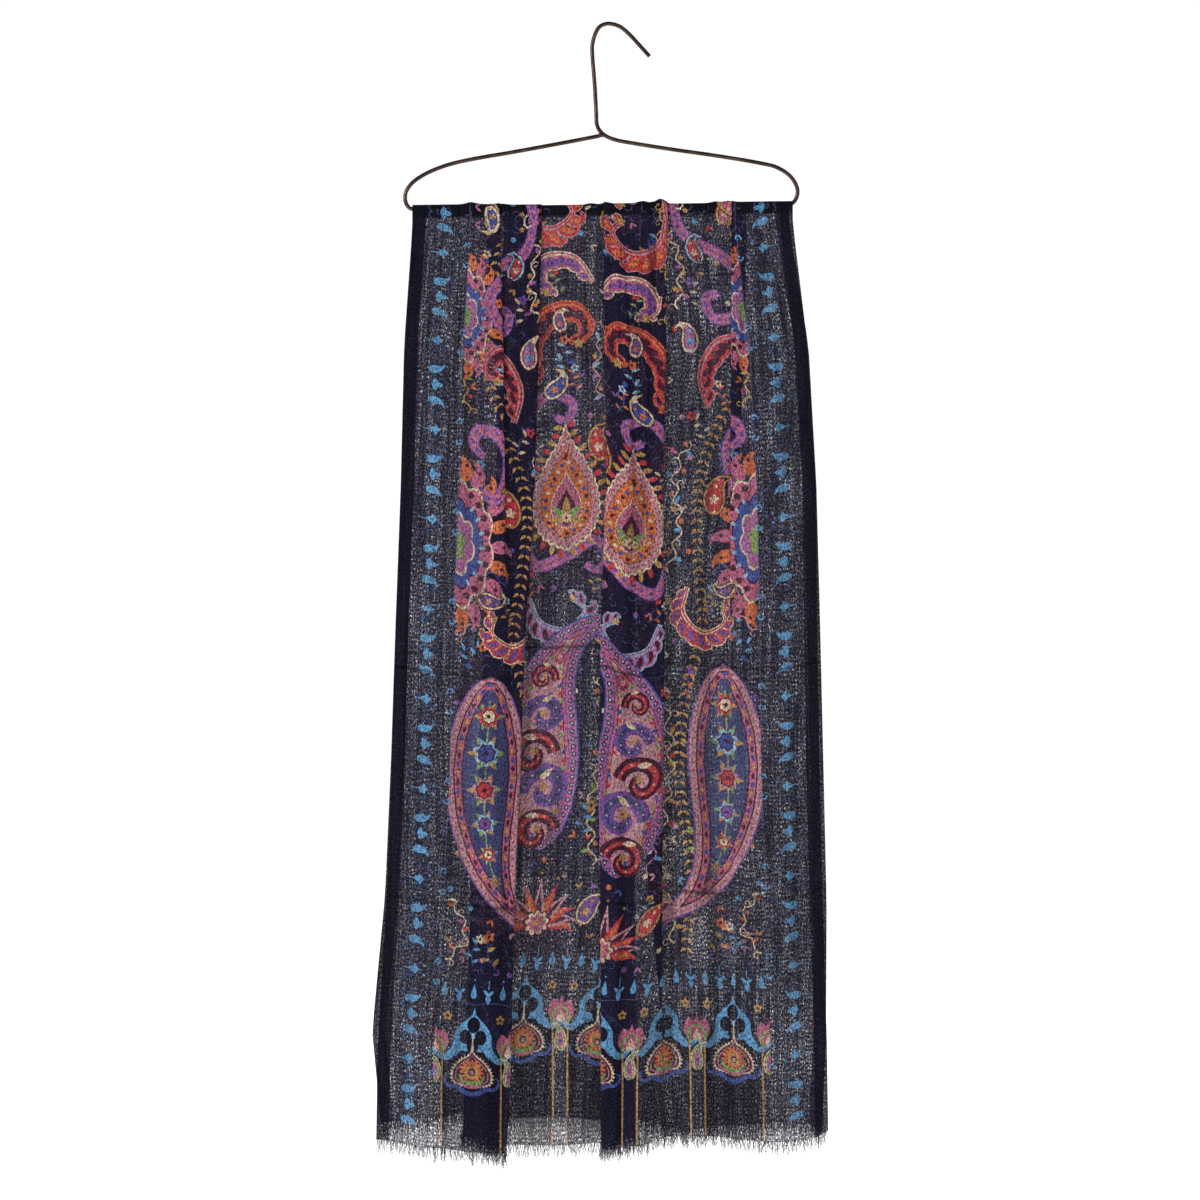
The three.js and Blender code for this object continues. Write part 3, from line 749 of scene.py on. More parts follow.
# Hem border: a row of seven palmettes between lotus buds on double gold lines, with drops above
PALMETTE_PITCH = 82
PALMETTE_COUNT = 7
black_panel = [
    (-33, -2), (33, -2), (33, 97), (24, 102), (12, 120), (0, 148), (-12, 120), (-24, 102),
    (-33, 97),
]
arch_half = smooth_line([
    (0, 153), (3, 144), (13, 135), (20, 125), (21, 114), (25, 103), (19, 99), (13, 106),
])
swag = smooth_line([(20, 107), (26, 99), (32, 97), (37, 100), (41, 104)])
shell_half = smooth_line([
    (0, 110), (4, 104), (14, 98), (22, 89), (25, 79), (22, 71), (11, 68), (0, 66),
], 2)
garland = smooth_line([(0, 60), (9, 63), (16, 68), (23, 67), (29, 70), (30, 77), (26, 79)])


def both_halves(half):
    """A closed outline from its right half, which runs from the top down."""
    return np.vstack([half, (half * [-1, 1])[::-1]])


def serrated(outline, centre, depth):
    """An outline with every other point drawn in towards a centre."""
    rim = outline.copy()
    rim[1::2] = mix(rim[1::2], np.asarray(centre, float), depth)
    return rim


def palmette(s, mirror):
    """A shell in a black niche under a blue arch, with swags to its neighbours."""
    put_down = ink_pair if mirror else ink
    put_down(put(black_panel, s, 0), "hem_ground")
    put_down(put(both_halves(arch_half), s, 0), "blue")
    for x, y, r in ((0, 134, 8), (-8.5, 121, 7.4), (8.5, 121, 7.4), (0, 112, 7.5)):
        put_down(put(disc(r, 10) * [0.9, 1.1], s + x, y), "hem_ground")
    put_down(ribbon([(s, 106), (s, 114), (s, 125)], [3.8, 1.6, 1.4]), "cream")
    shell = both_halves(shell_half)
    put_down(put(serrated(shell, (0, 84), 0.12), s, 0), "cream")
    for share, colour in ((0.84, "maroon"), (0.74, "rose"), (0.7, "maroon")):
        put_down(put(mix(np.array([[0, 83.0]]), shell[::2], share), s, 0), colour)
    put_down(put(bloom(14.5, 15, 0.35, 4) * [1, 0.92], s, 85), "orange")
    put_down(put(bloom(9.0, 11, 0.35, 4), s, 84), "mustard")
    bowl = [(s + 15 * math.sin(a), 86 - 15 * math.cos(a)) for a in np.linspace(-1.25, 1.25, 10)]
    put_down(ribbon(bowl, [1.5, 7, 1.5]), "green")
    smile = [(s + 20 * math.sin(a), 88 - 20 * math.cos(a)) for a in np.linspace(-0.95, 0.95, 10)]
    put_down(ribbon(smile, [0.8, 4, 0.8]), "pink")
    put_down(put(disc(4.2, 8), s, 84), "maroon")
    put_down(put(disc(2.5, 7), s, 83.5), "rose")
    for way in (-1, 1):
        put_down(ribbon(garland * [way, 1] + [s, 0], [4.6, 5, 4.4, 3.4, 1.4]), "cobalt")
        put_down(ribbon(swag * [way, 1] + [s, 0], [6.5, 7.5, 6, 4]), "blue")
        put_down(put(bloom(5.2, 5), s + way * 29, 141), "mustard")
        put_down(put(disc(1.8, 6), s + way * 29, 141), "maroon")


def lotus(s):
    """A pink lotus bud with green sepals, a little boteh under it and gold lines beside it."""
    for way in (-1, 1):
        rod = [(s + way * 8, -2), (s + way * 8, 60), (s + way * 8.4, 103)]
        ink_pair(ribbon(rod, [1.9, 1.9, 1.7]), "mustard")
        ink_pair(put(leaf_shape(25, 15, -way * 5, 7), s + way * 3, 102, way * 26), "pink")
    ink_pair(put(drop_shape(29, 17), s, 116), "pink")
    for way in (-1, 1):
        sepal = smooth_line([(s, 119), (s + way * 7, 114), (s + way * 10, 106), (s + way * 6, 100)])
        ink_pair(ribbon(sepal, [1.5, 3.4, 3.8, 2]), "green")
    ink_pair(put(drop_shape(14, 10), s, 108), "cream")
    for inset, colour in ((0, "cream"), (1.3, "green"), (2.7, "grey"), (3.9, "pink")):
        ink_pair(boteh(s + 1, 69, 37, 14, -8, 75, inset), colour)
    ink_pair(put(disc(1.8, 6), s, 81), "cobalt")


ink(tall_panel(-HALF_WIDTH, HALF_WIDTH), "ground")
half_row = range((PALMETTE_COUNT + 1) // 2)
for k in half_row:
    palmette(k * PALMETTE_PITCH, mirror=k > 0)
for k in half_row:
    lotus((k + 0.5) * PALMETTE_PITCH)
scallop = [(s, 155 + 3.5 * abs(math.sin(math.pi * s / 41))) for s in np.arange(0, FIELD_EDGE, 5.1)]
ink_pair(ribbon(scallop, [1.1, 1.1]), "slate")
for k, s in enumerate(np.arange(8, FIELD_EDGE - 4, 16)):
    if k % 2:
        ink_pair(put(drop_shape(16, 7), s, 170), "blue")
        ink_pair(put(disc(1.2, 5), s, 182), "blue")
    else:
        ink_pair(put(leaf_shape(12, 5.5), s, 169, 180), "blue")
        for way in (-1, 1):
            ink_pair(put(leaf_shape(8, 3.6, way), s, 166, way * 38), "blue")
        ink_pair(ribbon([(s, 172), (s, 182)], [0.9, 0.9]), "blue")

# Field, a generic paisley and vine design: hanging and standing botehs, drop medallions, half
# rosettes at the edges, ribbons, crescent garlands, leafy scrolls, little botehs and sprigs.
# A large boteh's foot, length, width, lean and curl of its tip
GREAT = (245, 504, 318, 84, 177, 90)
MIDDLE = (82, 286, 300, 86, 7, -112)
MEDALLION = (74, 662)
FAN = (78, 206)
# How high each half rosette stands, and its size
ROSETTES = [(640, 60), (884, 44)]
GARLAND = smooth_line([
    (196, 192), (206, 280), (196, 380), (204, 470), (222, 540), (214, 610), (206, 690),
    (224, 756), (258, 812), (264, 900), (244, 1000),
])
RIBBONS = [
    [
        (52, 590), (38, 584), (30, 600), (44, 616), (72, 600), (106, 590), (118, 622),
        (112, 690), (116, 740), (92, 772), (66, 762), (72, 744), (84, 748),
    ],
    [
        (262, 736), (274, 748), (268, 764), (248, 760), (236, 736), (240, 706), (250, 690),
        (262, 700),
    ],
    [
        (184, 1000), (196, 960), (236, 938), (262, 910), (250, 880), (222, 872), (214, 892),
        (228, 900),
    ],
]
# A leafy scroll's rib, size, hand, and the inks of its edge, body and heart
LEAFY_SCROLLS = [
    (
        [(214, 776), (206, 812), (222, 846), (252, 852), (264, 830), (250, 818)],
        26, -1, "rose", "coral", "maroon",
    ),
    (
        [(104, 782), (112, 826), (92, 862), (58, 866), (44, 842), (58, 826)],
        29, 1, "orange", "coral", "maroon",
    ),
    ([(40, 892), (60, 918), (92, 920), (104, 896), (90, 882)], 24, -1, "cream", "pink", "violet"),
    (
        [(120, 1000), (112, 964), (82, 950), (60, 966), (70, 984)],
        24, 1, "rose", "coral", "orange",
    ),
    (
        [(204, 584), (200, 556), (222, 536), (246, 548), (244, 566)],
        20, -1, "cream", "coral", "violet",
    ),
    (
        [(112, 556), (98, 528), (68, 520), (50, 540), (64, 554)],
        21, 1, "pale_blue", "orchid", "maroon",
    ),
    ([(186, 246), (164, 256), (156, 286), (176, 306)], 20, 1, "cream", "orange", "maroon"),
    ([(176, 520), (150, 530), (140, 566), (162, 588)], 20, 1, "cream", "pink", "maroon"),
    ([(170, 880), (148, 896), (146, 930), (170, 944)], 22, 1, "rose", "coral", "maroon"),
]
# A small boteh's foot, length, lean, curl, and the inks of its rim, body and flower
SMALL_BOTEHS = [
    (262, 590, 40, -120, 150, "cream", "violet", "mustard"),
    (226, 662, 56, -8, 130, "mustard", "coral", "cream"),
    (30, 206, 50, -16, -120, "cream", "violet", "mustard"),
    (118, 222, 50, 20, 120, "mustard", "coral", "cream"),
    (158, 330, 66, -16, -120, "pink", "violet", "mustard"),
    (150, 430, 70, 12, 120, "cream", "coral", "blue"),
    (34, 700, 52, 20, -130, "mustard", "coral", "cream"),
    (150, 690, 62, 10, 120, "pink", "cobalt", "cream"),
    (238, 972, 46, 12, 120, "mustard", "pink", "cream"),
    (96, 770, 44, -60, 130, "cream", "cobalt", "orange"),
    (212, 930, 40, -30, 130, "pale_blue", "coral", "cream"),
    (74, 838, 34, 20, -130, "cream", "violet", "orange"),
    (150, 800, 56, -20, 120, "cream", "coral", "mustard"),
    (36, 506, 44, -30, -120, "mustard", "violet", "cream"),
    (192, 832, 44, 10, -130, "cream", "orchid", "blue"),
    (24, 946, 46, -10, -120, "mustard", "pink", "cream"),
    (268, 980, 40, -20, 120, "cream", "cobalt", "mustard"),
]
# A vine's points, the inks of its stem, leaves and buds, its width and the gap between leaves
VINES = [
    ([(184, 204), (174, 300), (188, 400), (178, 480)], "cream", "mustard", "coral", 1.8, 14),
    ([(118, 290), (126, 360), (118, 430), (130, 500)], "orchid", "blue", "cream", 1.8, 13),
    ([(24, 270), (32, 340), (22, 400), (34, 470)], "cream", "green", "orange", 1.8, 13),
    ([(286, 545), (272, 552), (262, 566), (268, 584)], "rose", "mustard", "blue", 1.8, 11),
    ([(182, 600), (190, 650), (180, 700), (196, 740)], "cream", "blue", "orange", 1.8, 12),
    ([(124, 640), (130, 690), (126, 740), (136, 790)], "cream", "mustard", "coral", 1.8, 12),
    (
        [(24, 640), (18, 680), (22, 740), (40, 790), (30, 850)],
        "rose", "pale_blue", "mustard", 2.0, 12,
    ),
    ([(280, 780), (284, 810), (276, 836)], "mustard", "green", "coral", 1.8, 10),
    ([(184, 880), (190, 930), (182, 960), (196, 1000)], "cream", "orchid", "mustard", 1.8, 12),
    ([(112, 876), (118, 920), (108, 950), (116, 1000)], "mustard", "blue", "coral", 1.8, 11),
    ([(282, 200), (262, 222), (270, 250), (284, 262)], "cream", "orange", "pink", 1.8, 11),
]
# A sprig's foot, lean and size, the inks of its leaves and flower, and its hand
SPRIGS = [
    (226, 194, 16, 36, "mustard", "orange", 1), (252, 196, -12, 30, "blue", "cream", 1),
    (214, 300, 8, 38, "green", "coral", -1), (212, 240, 12, 34, "violet", "mustard", 1),
    (282, 330, -14, 30, "blue", "cream", -1), (282, 520, -60, 30, "blue", "orange", 1),
    (208, 400, 6, 30, "mustard", "blue", -1), (230, 600, 40, 26, "cobalt", "orange", 1),
    (212, 740, -30, 30, "cream", "coral", 1), (276, 700, -20, 30, "orange", "blue", 1),
    (36, 300, -8, 34, "blue", "mustard", 1), (112, 330, 14, 34, "green", "orange", -1),
    (30, 420, -12, 36, "mustard", "pink", -1), (112, 450, 16, 34, "blue", "coral", 1),
    (98, 560, 50, 24, "orange", "cream", 1), (44, 560, -30, 26, "mustard", "violet", 1),
    (84, 800, -20, 32, "pale_blue", "orange", -1), (72, 880, 20, 26, "green", "coral", 1),
    (238, 806, 10, 28, "pale_blue", "mustard", 1), (282, 930, -30, 28, "orange", "cream", -1),
    (206, 880, -14, 30, "cream", "violet", 1), (46, 966, -10, 28, "cream", "blue", 1),
    (96, 936, 10, 30, "mustard", "cobalt", -1), (58, 774, 10, 26, "orange", "pale_blue", 1),
    (104, 700, 8, 26, "cream", "coral", -1), (226, 560, 10, 26, "mustard", "pale_blue", 1),
    (236, 782, -30, 24, "orange", "cream", -1), (278, 860, -14, 24, "mustard", "coral", 1),
    (110, 240, 30, 26, "pale_blue", "mustard", 1), (210, 470, 0, 26, "orange", "violet", -1),
    (226, 932, -40, 26, "green", "pink", 1),
]
filler = np.random.default_rng(7)
busy = []


def rest_place(s, t, radius):
    """Keeps the little filling motifs out of a circle."""
    busy.append((s, t, radius))


for v in (0.06, 0.18, 0.32, 0.46, 0.6, 0.74, 0.86, 0.96):
    for s, t, length, width, lean, curl in (GREAT, MIDDLE):
        x, y, _ = boteh_point(s, t, length, lean, curl, v)
        rest_place(x, y, 4 + width * 0.46 * np.interp(v, BOTEH_AT, BOTEH_WIDTH))
for up in (-40, -12, 16, 44):
    rest_place(MEDALLION[0], MEDALLION[1] + up, 32)
rest_place(FAN[0], FAN[1] + 24, 34)
for t, size in ROSETTES:
    rest_place(FIELD_EDGE, t, size)
for x, y, _ in spaced(GARLAND, 18):
    rest_place(x, y, 9)
for points in RIBBONS:
    for x, y, _ in spaced(smooth_line(points), 14):
        rest_place(x, y, 9)
for points, size, *_ in LEAFY_SCROLLS:
    for x, y, _ in spaced(smooth_line(points), 12):
        rest_place(x, y, size * 0.55)
for s, t, length, lean, curl, *_ in SMALL_BOTEHS:
    x, y, _ = boteh_point(s, t, length, lean, curl, 0.35)
    rest_place(x, y, length * 0.36)

# Little filling motifs in uneven rows: a flower, a pair of leaves, or dark commas
FILLING = ["violet", "blue", "mustard", "orchid", "rose", "cream", "cobalt", "coral", "orange"]
FILLING_ROW = 14
FILLING_COLUMN = 14.5
COMMA = ribbon([(0, 0), (3.4, 2.2), (4.2, 5.6), (1.4, 8.0)], [0.8, 1.5, 0.6])
for row, t in enumerate(np.arange(HEM_BORDER_TOP + 4, MID_LENGTH + 10, FILLING_ROW)):
    for column, s in enumerate(np.arange(5 + 7 * (row % 2), FIELD_EDGE - 3, FILLING_COLUMN)):
        x, y = s + filler.uniform(-3, 3), t + filler.uniform(-3, 3)
        lean, tint = filler.uniform(0, 360), filler.integers(0, len(FILLING))
        kind = (row + 3 * column) % 7
        if any(math.hypot(x - a, y - b) < r + 1 for a, b, r in busy):
            continue
        if kind == 0:
            ink_pair(put(bloom(3.4, 5, 0.45, 3), x, y, lean), FILLING[tint])
        elif kind == 3:
            for way in (-32, 32):
                ink_pair(put(leaf_shape(7.5, 2.8, 0, 4), x, y, lean + way), FILLING[tint])
        else:
            ink_pair(put(COMMA, x, y, lean), "slate")

# Crescent garlands: crescents strung along a wavy line
for x, y, heading in spaced(GARLAND, 10.5):
    for way in (-1, 1):
        moon = ribbon([(way * 0.8, 1.8), (way * 3.6, 0.8), (way * 6.2, -2.8)], [2.4, 3.2, 0.8])
        ink_pair(put(moon, x, y, heading), "mustard")

for entry in VINES:
    vine(*entry)
for entry in SPRIGS:
    sprig(*entry)

# Half rosettes at the field's edge, cut off by the side border, in a fan of petals
for t0, size in ROSETTES:
    arc = np.linspace(-math.pi, 0, 36)
    for k in range(11):
        a = -2.95 + 0.28 * k
        x, y = FIELD_EDGE + size * 0.62 * math.sin(a), t0 + size * 1.12 * math.cos(a)
        petal = boteh(x, y, size * 0.52, size * 0.24, math.degrees(a), 70 if k > 5 else -70)
        ink_pair(petal, "pink" if k % 2 else "orange")
        x, y = FIELD_EDGE + size * 0.86 * math.sin(a), t0 + size * 1.42 * math.cos(a)
        ink_pair(put(disc(size * 0.04, 5), x, y), "maroon")
    for share, lobes, cut, colour in (
        (0.88, 11, 0.14, "cream"), (0.84, 11, 0.14, "pink"), (0.62, 9, 0.16, "maroon"),
        (0.59, 9, 0.16, "cobalt"), (0.44, 7, 0.2, "cream"), (0.4, 7, 0.2, "orchid"),
        (0.22, 5, 0.3, "green"),
    ):
        r = size * share * (1 - cut + cut * np.abs(np.cos(lobes * arc / 2)))
        ring = [FIELD_EDGE + r * np.sin(arc) * 0.78, t0 + r * np.cos(arc) * 1.35]
        ink_pair(np.column_stack(ring), colour)
    for a in np.linspace(-2.75, -0.4, 9):
        x, y = FIELD_EDGE + size * 0.56 * math.sin(a), t0 + size * 0.96 * math.cos(a)
        ink_pair(put(bloom(size * 0.07, 5, 0.45, 3), x, y), "maroon")
    for a in np.linspace(-2.6, -0.55, 7):
        x, y = FIELD_EDGE + size * 0.4 * math.sin(a), t0 + size * 0.7 * math.cos(a)
        blade = leaf_shape(size * 0.13, size * 0.07, 0, 4)
        ink_pair(put(blade, x, y, math.degrees(a)), "pale_blue")

# Ribbons: an orchid band with a violet edge and a row of dark lozenges, curled at its ends
for points in RIBBONS:
    band = smooth_line(points)
    ink_pair(ribbon(band, [8, 13.5, 14, 13.5, 12.5, 9]), "violet")
    ink_pair(ribbon(band, [6, 11, 11.5, 11, 10, 6.8]), "orchid")
    ink_pair(ribbon(band, [1.6, 6.4, 7.0, 6.4, 5.6, 2.0]), "pink")
    for x, y, heading in spaced(band, 11):
        ink_pair(put(leaf_shape(7.5, 4.4, 0, 4), x, y, heading), "violet")


def leafy_scroll(points, size, hand, edge, body, heart):
    """A curling rib with comma-shaped lobes on its outer side, smaller towards both ends."""
    rib = smooth_line(points)
    lobes = spaced(rib, size * 0.5)
    for margin, colour in ((-1.3, edge), (0.0, body), (0.1, heart)):
        for k, (x, y, heading) in enumerate(lobes):
            length = size * (0.55 + 0.85 * math.sin(math.pi * ((k + 0.7) / len(lobes)) ** 0.9))
            inset = margin * length if margin > 0 else margin
            lobe = boteh(x, y, length, length * 0.42, heading - hand * 52, hand * 150, inset)
            ink_pair(lobe, colour)
        if margin <= 0:
            ink_pair(ribbon(rib, np.array([0.16, 0.26, 0.22, 0.12]) * size - 2 * margin), colour)
    ink_pair(ribbon(rib, [size * 0.04, size * 0.1, size * 0.03]), edge)
    ink_pair(put(bloom(size * 0.2, 5, 0.45, 4), *rib[-1]), "mustard")


for entry in LEAFY_SCROLLS:
    leafy_scroll(*entry)
for entry in SMALL_BOTEHS:
    small_boteh(*entry)


def along_boteh(form, v):
    """A point on the middle line of one of the large botehs, and which way it heads there."""
    s, t, length, _, lean, curl = form
    return boteh_point(s, t, length, lean, curl, v)


# Great botehs that hang tip down, their tips curling in, with a flowering stem inside
for inset, colour in (
    (-1.8, "violet"), (0, "rose"), (7.0, "maroon"), (8.6, "pink"), (15.5, "maroon"),
    (17, "slate"),
):
    ink_pair(boteh(*GREAT, inset), colour)
for x, y, _ in spaced(rimmed(boteh(*GREAT, 3.4)), 8.5):
    ink_pair(put(disc(1.3, 5), x, y), "coral")
for k, (x, y, heading) in enumerate(spaced(rimmed(boteh(*GREAT, 12.0)), 9.5)):
    ink_pair(put(leaf_shape(7.5, 4.0, 0, 4), x, y, heading), ("cobalt", "mustard", "maroon")[k % 3])
heart = [along_boteh(GREAT, v)[:2] for v in np.linspace(0.08, 0.7, 10)]
ink_pair(ribbon(smooth_line(heart), [2.0, 1.8, 1.2]), "green")
for v, radius, colour, core in (
    (0.13, 12, "coral", "cream"), (0.25, 15, "pale_blue", "cobalt"), (0.37, 14, "rose", "coral"),
    (0.48, 11, "pale_blue", "violet"), (0.58, 8, "coral", "cream"), (0.67, 5, "pink", "mustard"),
):
    x, y, heading = along_boteh(GREAT, v)
    for k in range(6):
        tint = "green" if k % 2 else "mustard"
        blade = leaf_shape(radius * 1.4, radius * 0.5, 2, 4)
        ink_pair(put(blade, x, y, heading + 60 * k + 30), tint)
    ink_pair(put(bloom(radius, 7, 0.35, 4), x, y, heading), colour)
    ink_pair(put(bloom(radius * 0.74, 7, 0.35, 3), x, y, heading), "maroon")
    ink_pair(put(bloom(radius * 0.6, 7, 0.3, 3), x, y, heading), core)
    ink_pair(put(disc(radius * 0.2, 6), x, y), "maroon")

# Middle botehs that stand beside the middle line, edged with beads and filled with scrolls
for inset, colour in (
    (-1.8, "cobalt"), (0, "orchid"), (9.0, "violet"), (10.4, "pink"), (13.4, "maroon"),
    (14.6, "rose"),
):
    ink_pair(boteh(*MIDDLE, inset), colour)
for x, y, _ in spaced(rimmed(boteh(*MIDDLE, 4.6)), 8.2):
    ink_pair(put(disc(2.9, 6), x, y), "ground")
    ink_pair(put(disc(1.6, 5), x, y), "grey")
for k, (x, y, heading) in enumerate(spaced(rimmed(boteh(*MIDDLE, 18.5)), 9)):
    tint = ("coral", "cobalt", "mustard", "green")[k % 4]
    ink_pair(put(leaf_shape(8, 4, 2, 4), x, y, heading - 60), tint)
for v, size, colour, hand in (
    (0.07, 44, "maroon", 1), (0.2, 50, "violet", -1), (0.34, 48, "maroon", 1),
    (0.47, 40, "violet", -1), (0.59, 28, "maroon", 1), (0.69, 18, "coral", -1),
):
    x, y, heading = along_boteh(MIDDLE, v)
    line = put(scroll_line(size, 1.15, hand), x - hand * size * 0.36, y, heading)
    ink_pair(ribbon(line, np.array([0.3, 0.34, 0.26, 0.16]) * size), colour)
    vein = "coral" if colour == "maroon" else "slate"
    ink_pair(ribbon(line, np.array([0.08, 0.13, 0.08, 0.03]) * size), vein)
    for x, y, _ in spaced(line, size * 0.3):
        ink_pair(put(disc(size * 0.028, 4), x, y), "cream")
    ink_pair(put(bloom(size * 0.1, 5, 0.45, 3), *line[-1], 0), "mustard")
    x, y, heading = along_boteh(MIDDLE, v + 0.05)
    ink_pair(put(leaf_shape(size * 0.36, size * 0.15, 3, 4), x, y, heading + hand * 70), "cream")

# Fan palmettes low in the field
for k in range(-5, 6):
    lean = 18 * k
    along, over = math.cos(math.radians(lean)), math.sin(math.radians(lean))
    s, t = FAN[0] + 2 * k, FAN[1]
    size = 50 - 3.4 * abs(k)
    ink_pair(boteh(s, t, size, 12, lean, 9 * k), ("rose", "coral")[k % 2])
    inner = boteh(s + 5 * over, t + 5 * along, size * 0.7, 6.5, lean, 7 * k)
    ink_pair(inner, ("maroon", "orange")[k % 2])
    ink_pair(put(disc(1.7, 5), s + (size + 5) * over, t + (size + 5) * along), "mustard")
for radius, petals, colour in (
    (16, 9, "maroon"), (13.5, 9, "cream"), (10, 8, "pink"), (4, 5, "mustard"),
):
    ink_pair(put(bloom(radius, petals, 0.28, 4), FAN[0], FAN[1] + 2), colour)

# Drop medallions, tip up, ring within ring round an upright flower
MEDALLION_HALF = smooth_line([(0, 78), (5, 62), (19, 40), (32, 12), (35, -16), (24, -42), (0, -56)])


def medallion(share, lift=0.0, scallop=0.0):
    """The medallion's outline, shrunk towards its middle."""
    rim = both_halves(MEDALLION_HALF) * share + [0, lift]
    rim[1::2] *= 1 - scallop
    return rim + MEDALLION


for k, (x, y, heading) in enumerate(spaced(rimmed(medallion(1.0)), 10)):
    ink_pair(put(leaf_shape(12, 6, 2, 4), x, y, heading - 90), "coral" if k % 2 else "mustard")
for share, lift, scallop, colour in (
    (1.06, 0, 0.05, "cream"), (1.0, 0, 0.05, "maroon"), (0.97, 0, 0, "rose"),
    (0.8, -1, 0.04, "maroon"), (0.77, -1, 0, "orange"), (0.5, -8, 0.08, "cream"),
    (0.46, -8, 0.06, "pink"), (0.3, -13, 0, "maroon"),
):
    ink_pair(medallion(share, lift, scallop), colour)
for x, y, _ in spaced(rimmed(medallion(0.885, -0.5)), 6.6):
    ink_pair(put(disc(1.4, 5), x, y), "coral")
for k, (x, y, heading) in enumerate(spaced(rimmed(medallion(0.635, -4)), 8.2)):
    ink_pair(put(bloom(2.6, 5, 0.45, 3), x, y), ("maroon", "cobalt", "cream")[k % 3])
for k in range(-2, 3):
    blade = leaf_shape(27 - 4 * abs(k), 8, 3 * k, 5)
    tint = "green" if k % 2 else "mustard"
    ink_pair(put(blade, MEDALLION[0], MEDALLION[1] - 26, 34 * k), tint)
ink_pair(put(bloom(6, 6, 0.35, 4), MEDALLION[0], MEDALLION[1] - 22), "cream")
ink_pair(put(disc(2.2, 6), MEDALLION[0], MEDALLION[1] - 22), "coral")

# Side borders: a repeat of a bud on a stem, a drop, a three-lobed flower and another drop
SIDE_PITCH = 95.5
FIRST_BUD = 91
SIDE_LINE = 316
ink_pair(tall_panel(FIELD_EDGE, PANEL_SIDE), "ground")
ink_pair(ribbon([(FIELD_EDGE, HEM_BORDER_TOP), (FIELD_EDGE, PANEL_TOP)], [1.1, 1.1]), "slate")
for row, t in enumerate(np.arange(4, MID_LENGTH + 8, 15)):
    for s in np.arange(FIELD_EDGE + 6 + 5 * (row % 2), SELVEDGE_EDGE - 2, 12):
        x, y, lean = s + filler.uniform(-2, 2), t + filler.uniform(-3, 3), filler.uniform(0, 360)
        ink_pair(put(COMMA, x, y, lean), "slate")


def border_flower(t):
    """The side border's flower of three lobes and a short foot."""
    for turn, length in ((-90, 8.5), (0, 6.5), (180, 6.5), (90, 4)):
        ink_pair(put(leaf_shape(length, 5.4), SIDE_LINE, t, turn), "blue")


for tb in np.arange(FIRST_BUD, MID_LENGTH, SIDE_PITCH):
    ink_pair(ribbon([(SIDE_LINE, tb), (324, tb), (328, tb)], [1.6, 1.0, 0.7]), "blue")
    ink_pair(put(leaf_shape(13, 6.6), SIDE_LINE - 7, tb, 90), "blue")
    for way in (-1, 1):
        ink_pair(put(leaf_shape(6, 3.6, way), SIDE_LINE - 3, tb, 90 + way * 60), "blue")
        ink_pair(put(disc(1.4, 6), SIDE_LINE - 12, tb + way * 5.0), "blue")
        curl = put(scroll_line(9, 0.95, -way), SIDE_LINE - 23, tb + way * 9, 90 - way * 75)
        ink_pair(ribbon(curl, [2.0, 2.2, 1.6, 1.4]), "blue")
    ink_pair(boteh(SIDE_LINE + 8, tb - 32, 21, 8.6, -88, 62), "blue")
    ink_pair(boteh(SIDE_LINE + 8, tb - 64, 21, 8.6, -92, -62), "blue")
    border_flower(tb - 47.8)
ink_pair(boteh(SIDE_LINE + 8, MID_LENGTH - 15, 21, 8.6, -92, -62), "blue")
border_flower(MID_LENGTH)
ink_pair(tall_panel(SELVEDGE_EDGE, PANEL_SIDE), "selvedge")

# What reaches the cloth's middle is printed again, turned about its mid-length
NEAR_MIDDLE = (940, 1190)
for shape, colour in list(print_shapes):
    near_middle = NEAR_MIDDLE[0] < shape[:, 1].max() < NEAR_MIDDLE[1]
    if colour not in ("ground", "selvedge") and near_middle:
        print_shapes.append((shape * [1, -1] + [0, CLOTH_LENGTH], colour))
# The selvedge is printed last, over all that reaches it
print_shapes.sort(key=lambda item: item[1] == "selvedge")

# The mesh of the printed cloth: the gap between its plain columns, and the height above which
# a panel of the print is cut along straight lines instead of round its outline
GRID_COLUMN = 4.0
TALLEST_CUT = 1150
SAME_POINT = 1e-4
# Millimetres of cloth in one unit of its UV map
CLOTH_MAP = 2000


def inside(outline, points):
    """Which points lie within a closed outline."""
    x, y = points[:, 0][:, None], points[:, 1][:, None]
    ax, ay = outline.T
    bx, by = np.roll(outline, -1, axis=0).T
    crossing = (ay > y) != (by > y)
    reach = ax + (y - ay) * (bx - ax) / np.where(by == ay, 1e-9, by - ay)
    return (crossing & (x < reach)).sum(axis=1) % 2 == 1


def finer(outline, step):
    """The outline with points added along its long straight edges."""
    ends = np.roll(outline, -1, axis=0)
    counts = np.maximum(1, np.ceil(np.hypot(*(ends - outline).T) / step)).astype(int)
    if counts.max() == 1:
        return outline
    sides = [mix(a, b, np.arange(n)[:, None] / n) for a, b, n in zip(outline, ends, counts)]
    return np.vstack(sides)


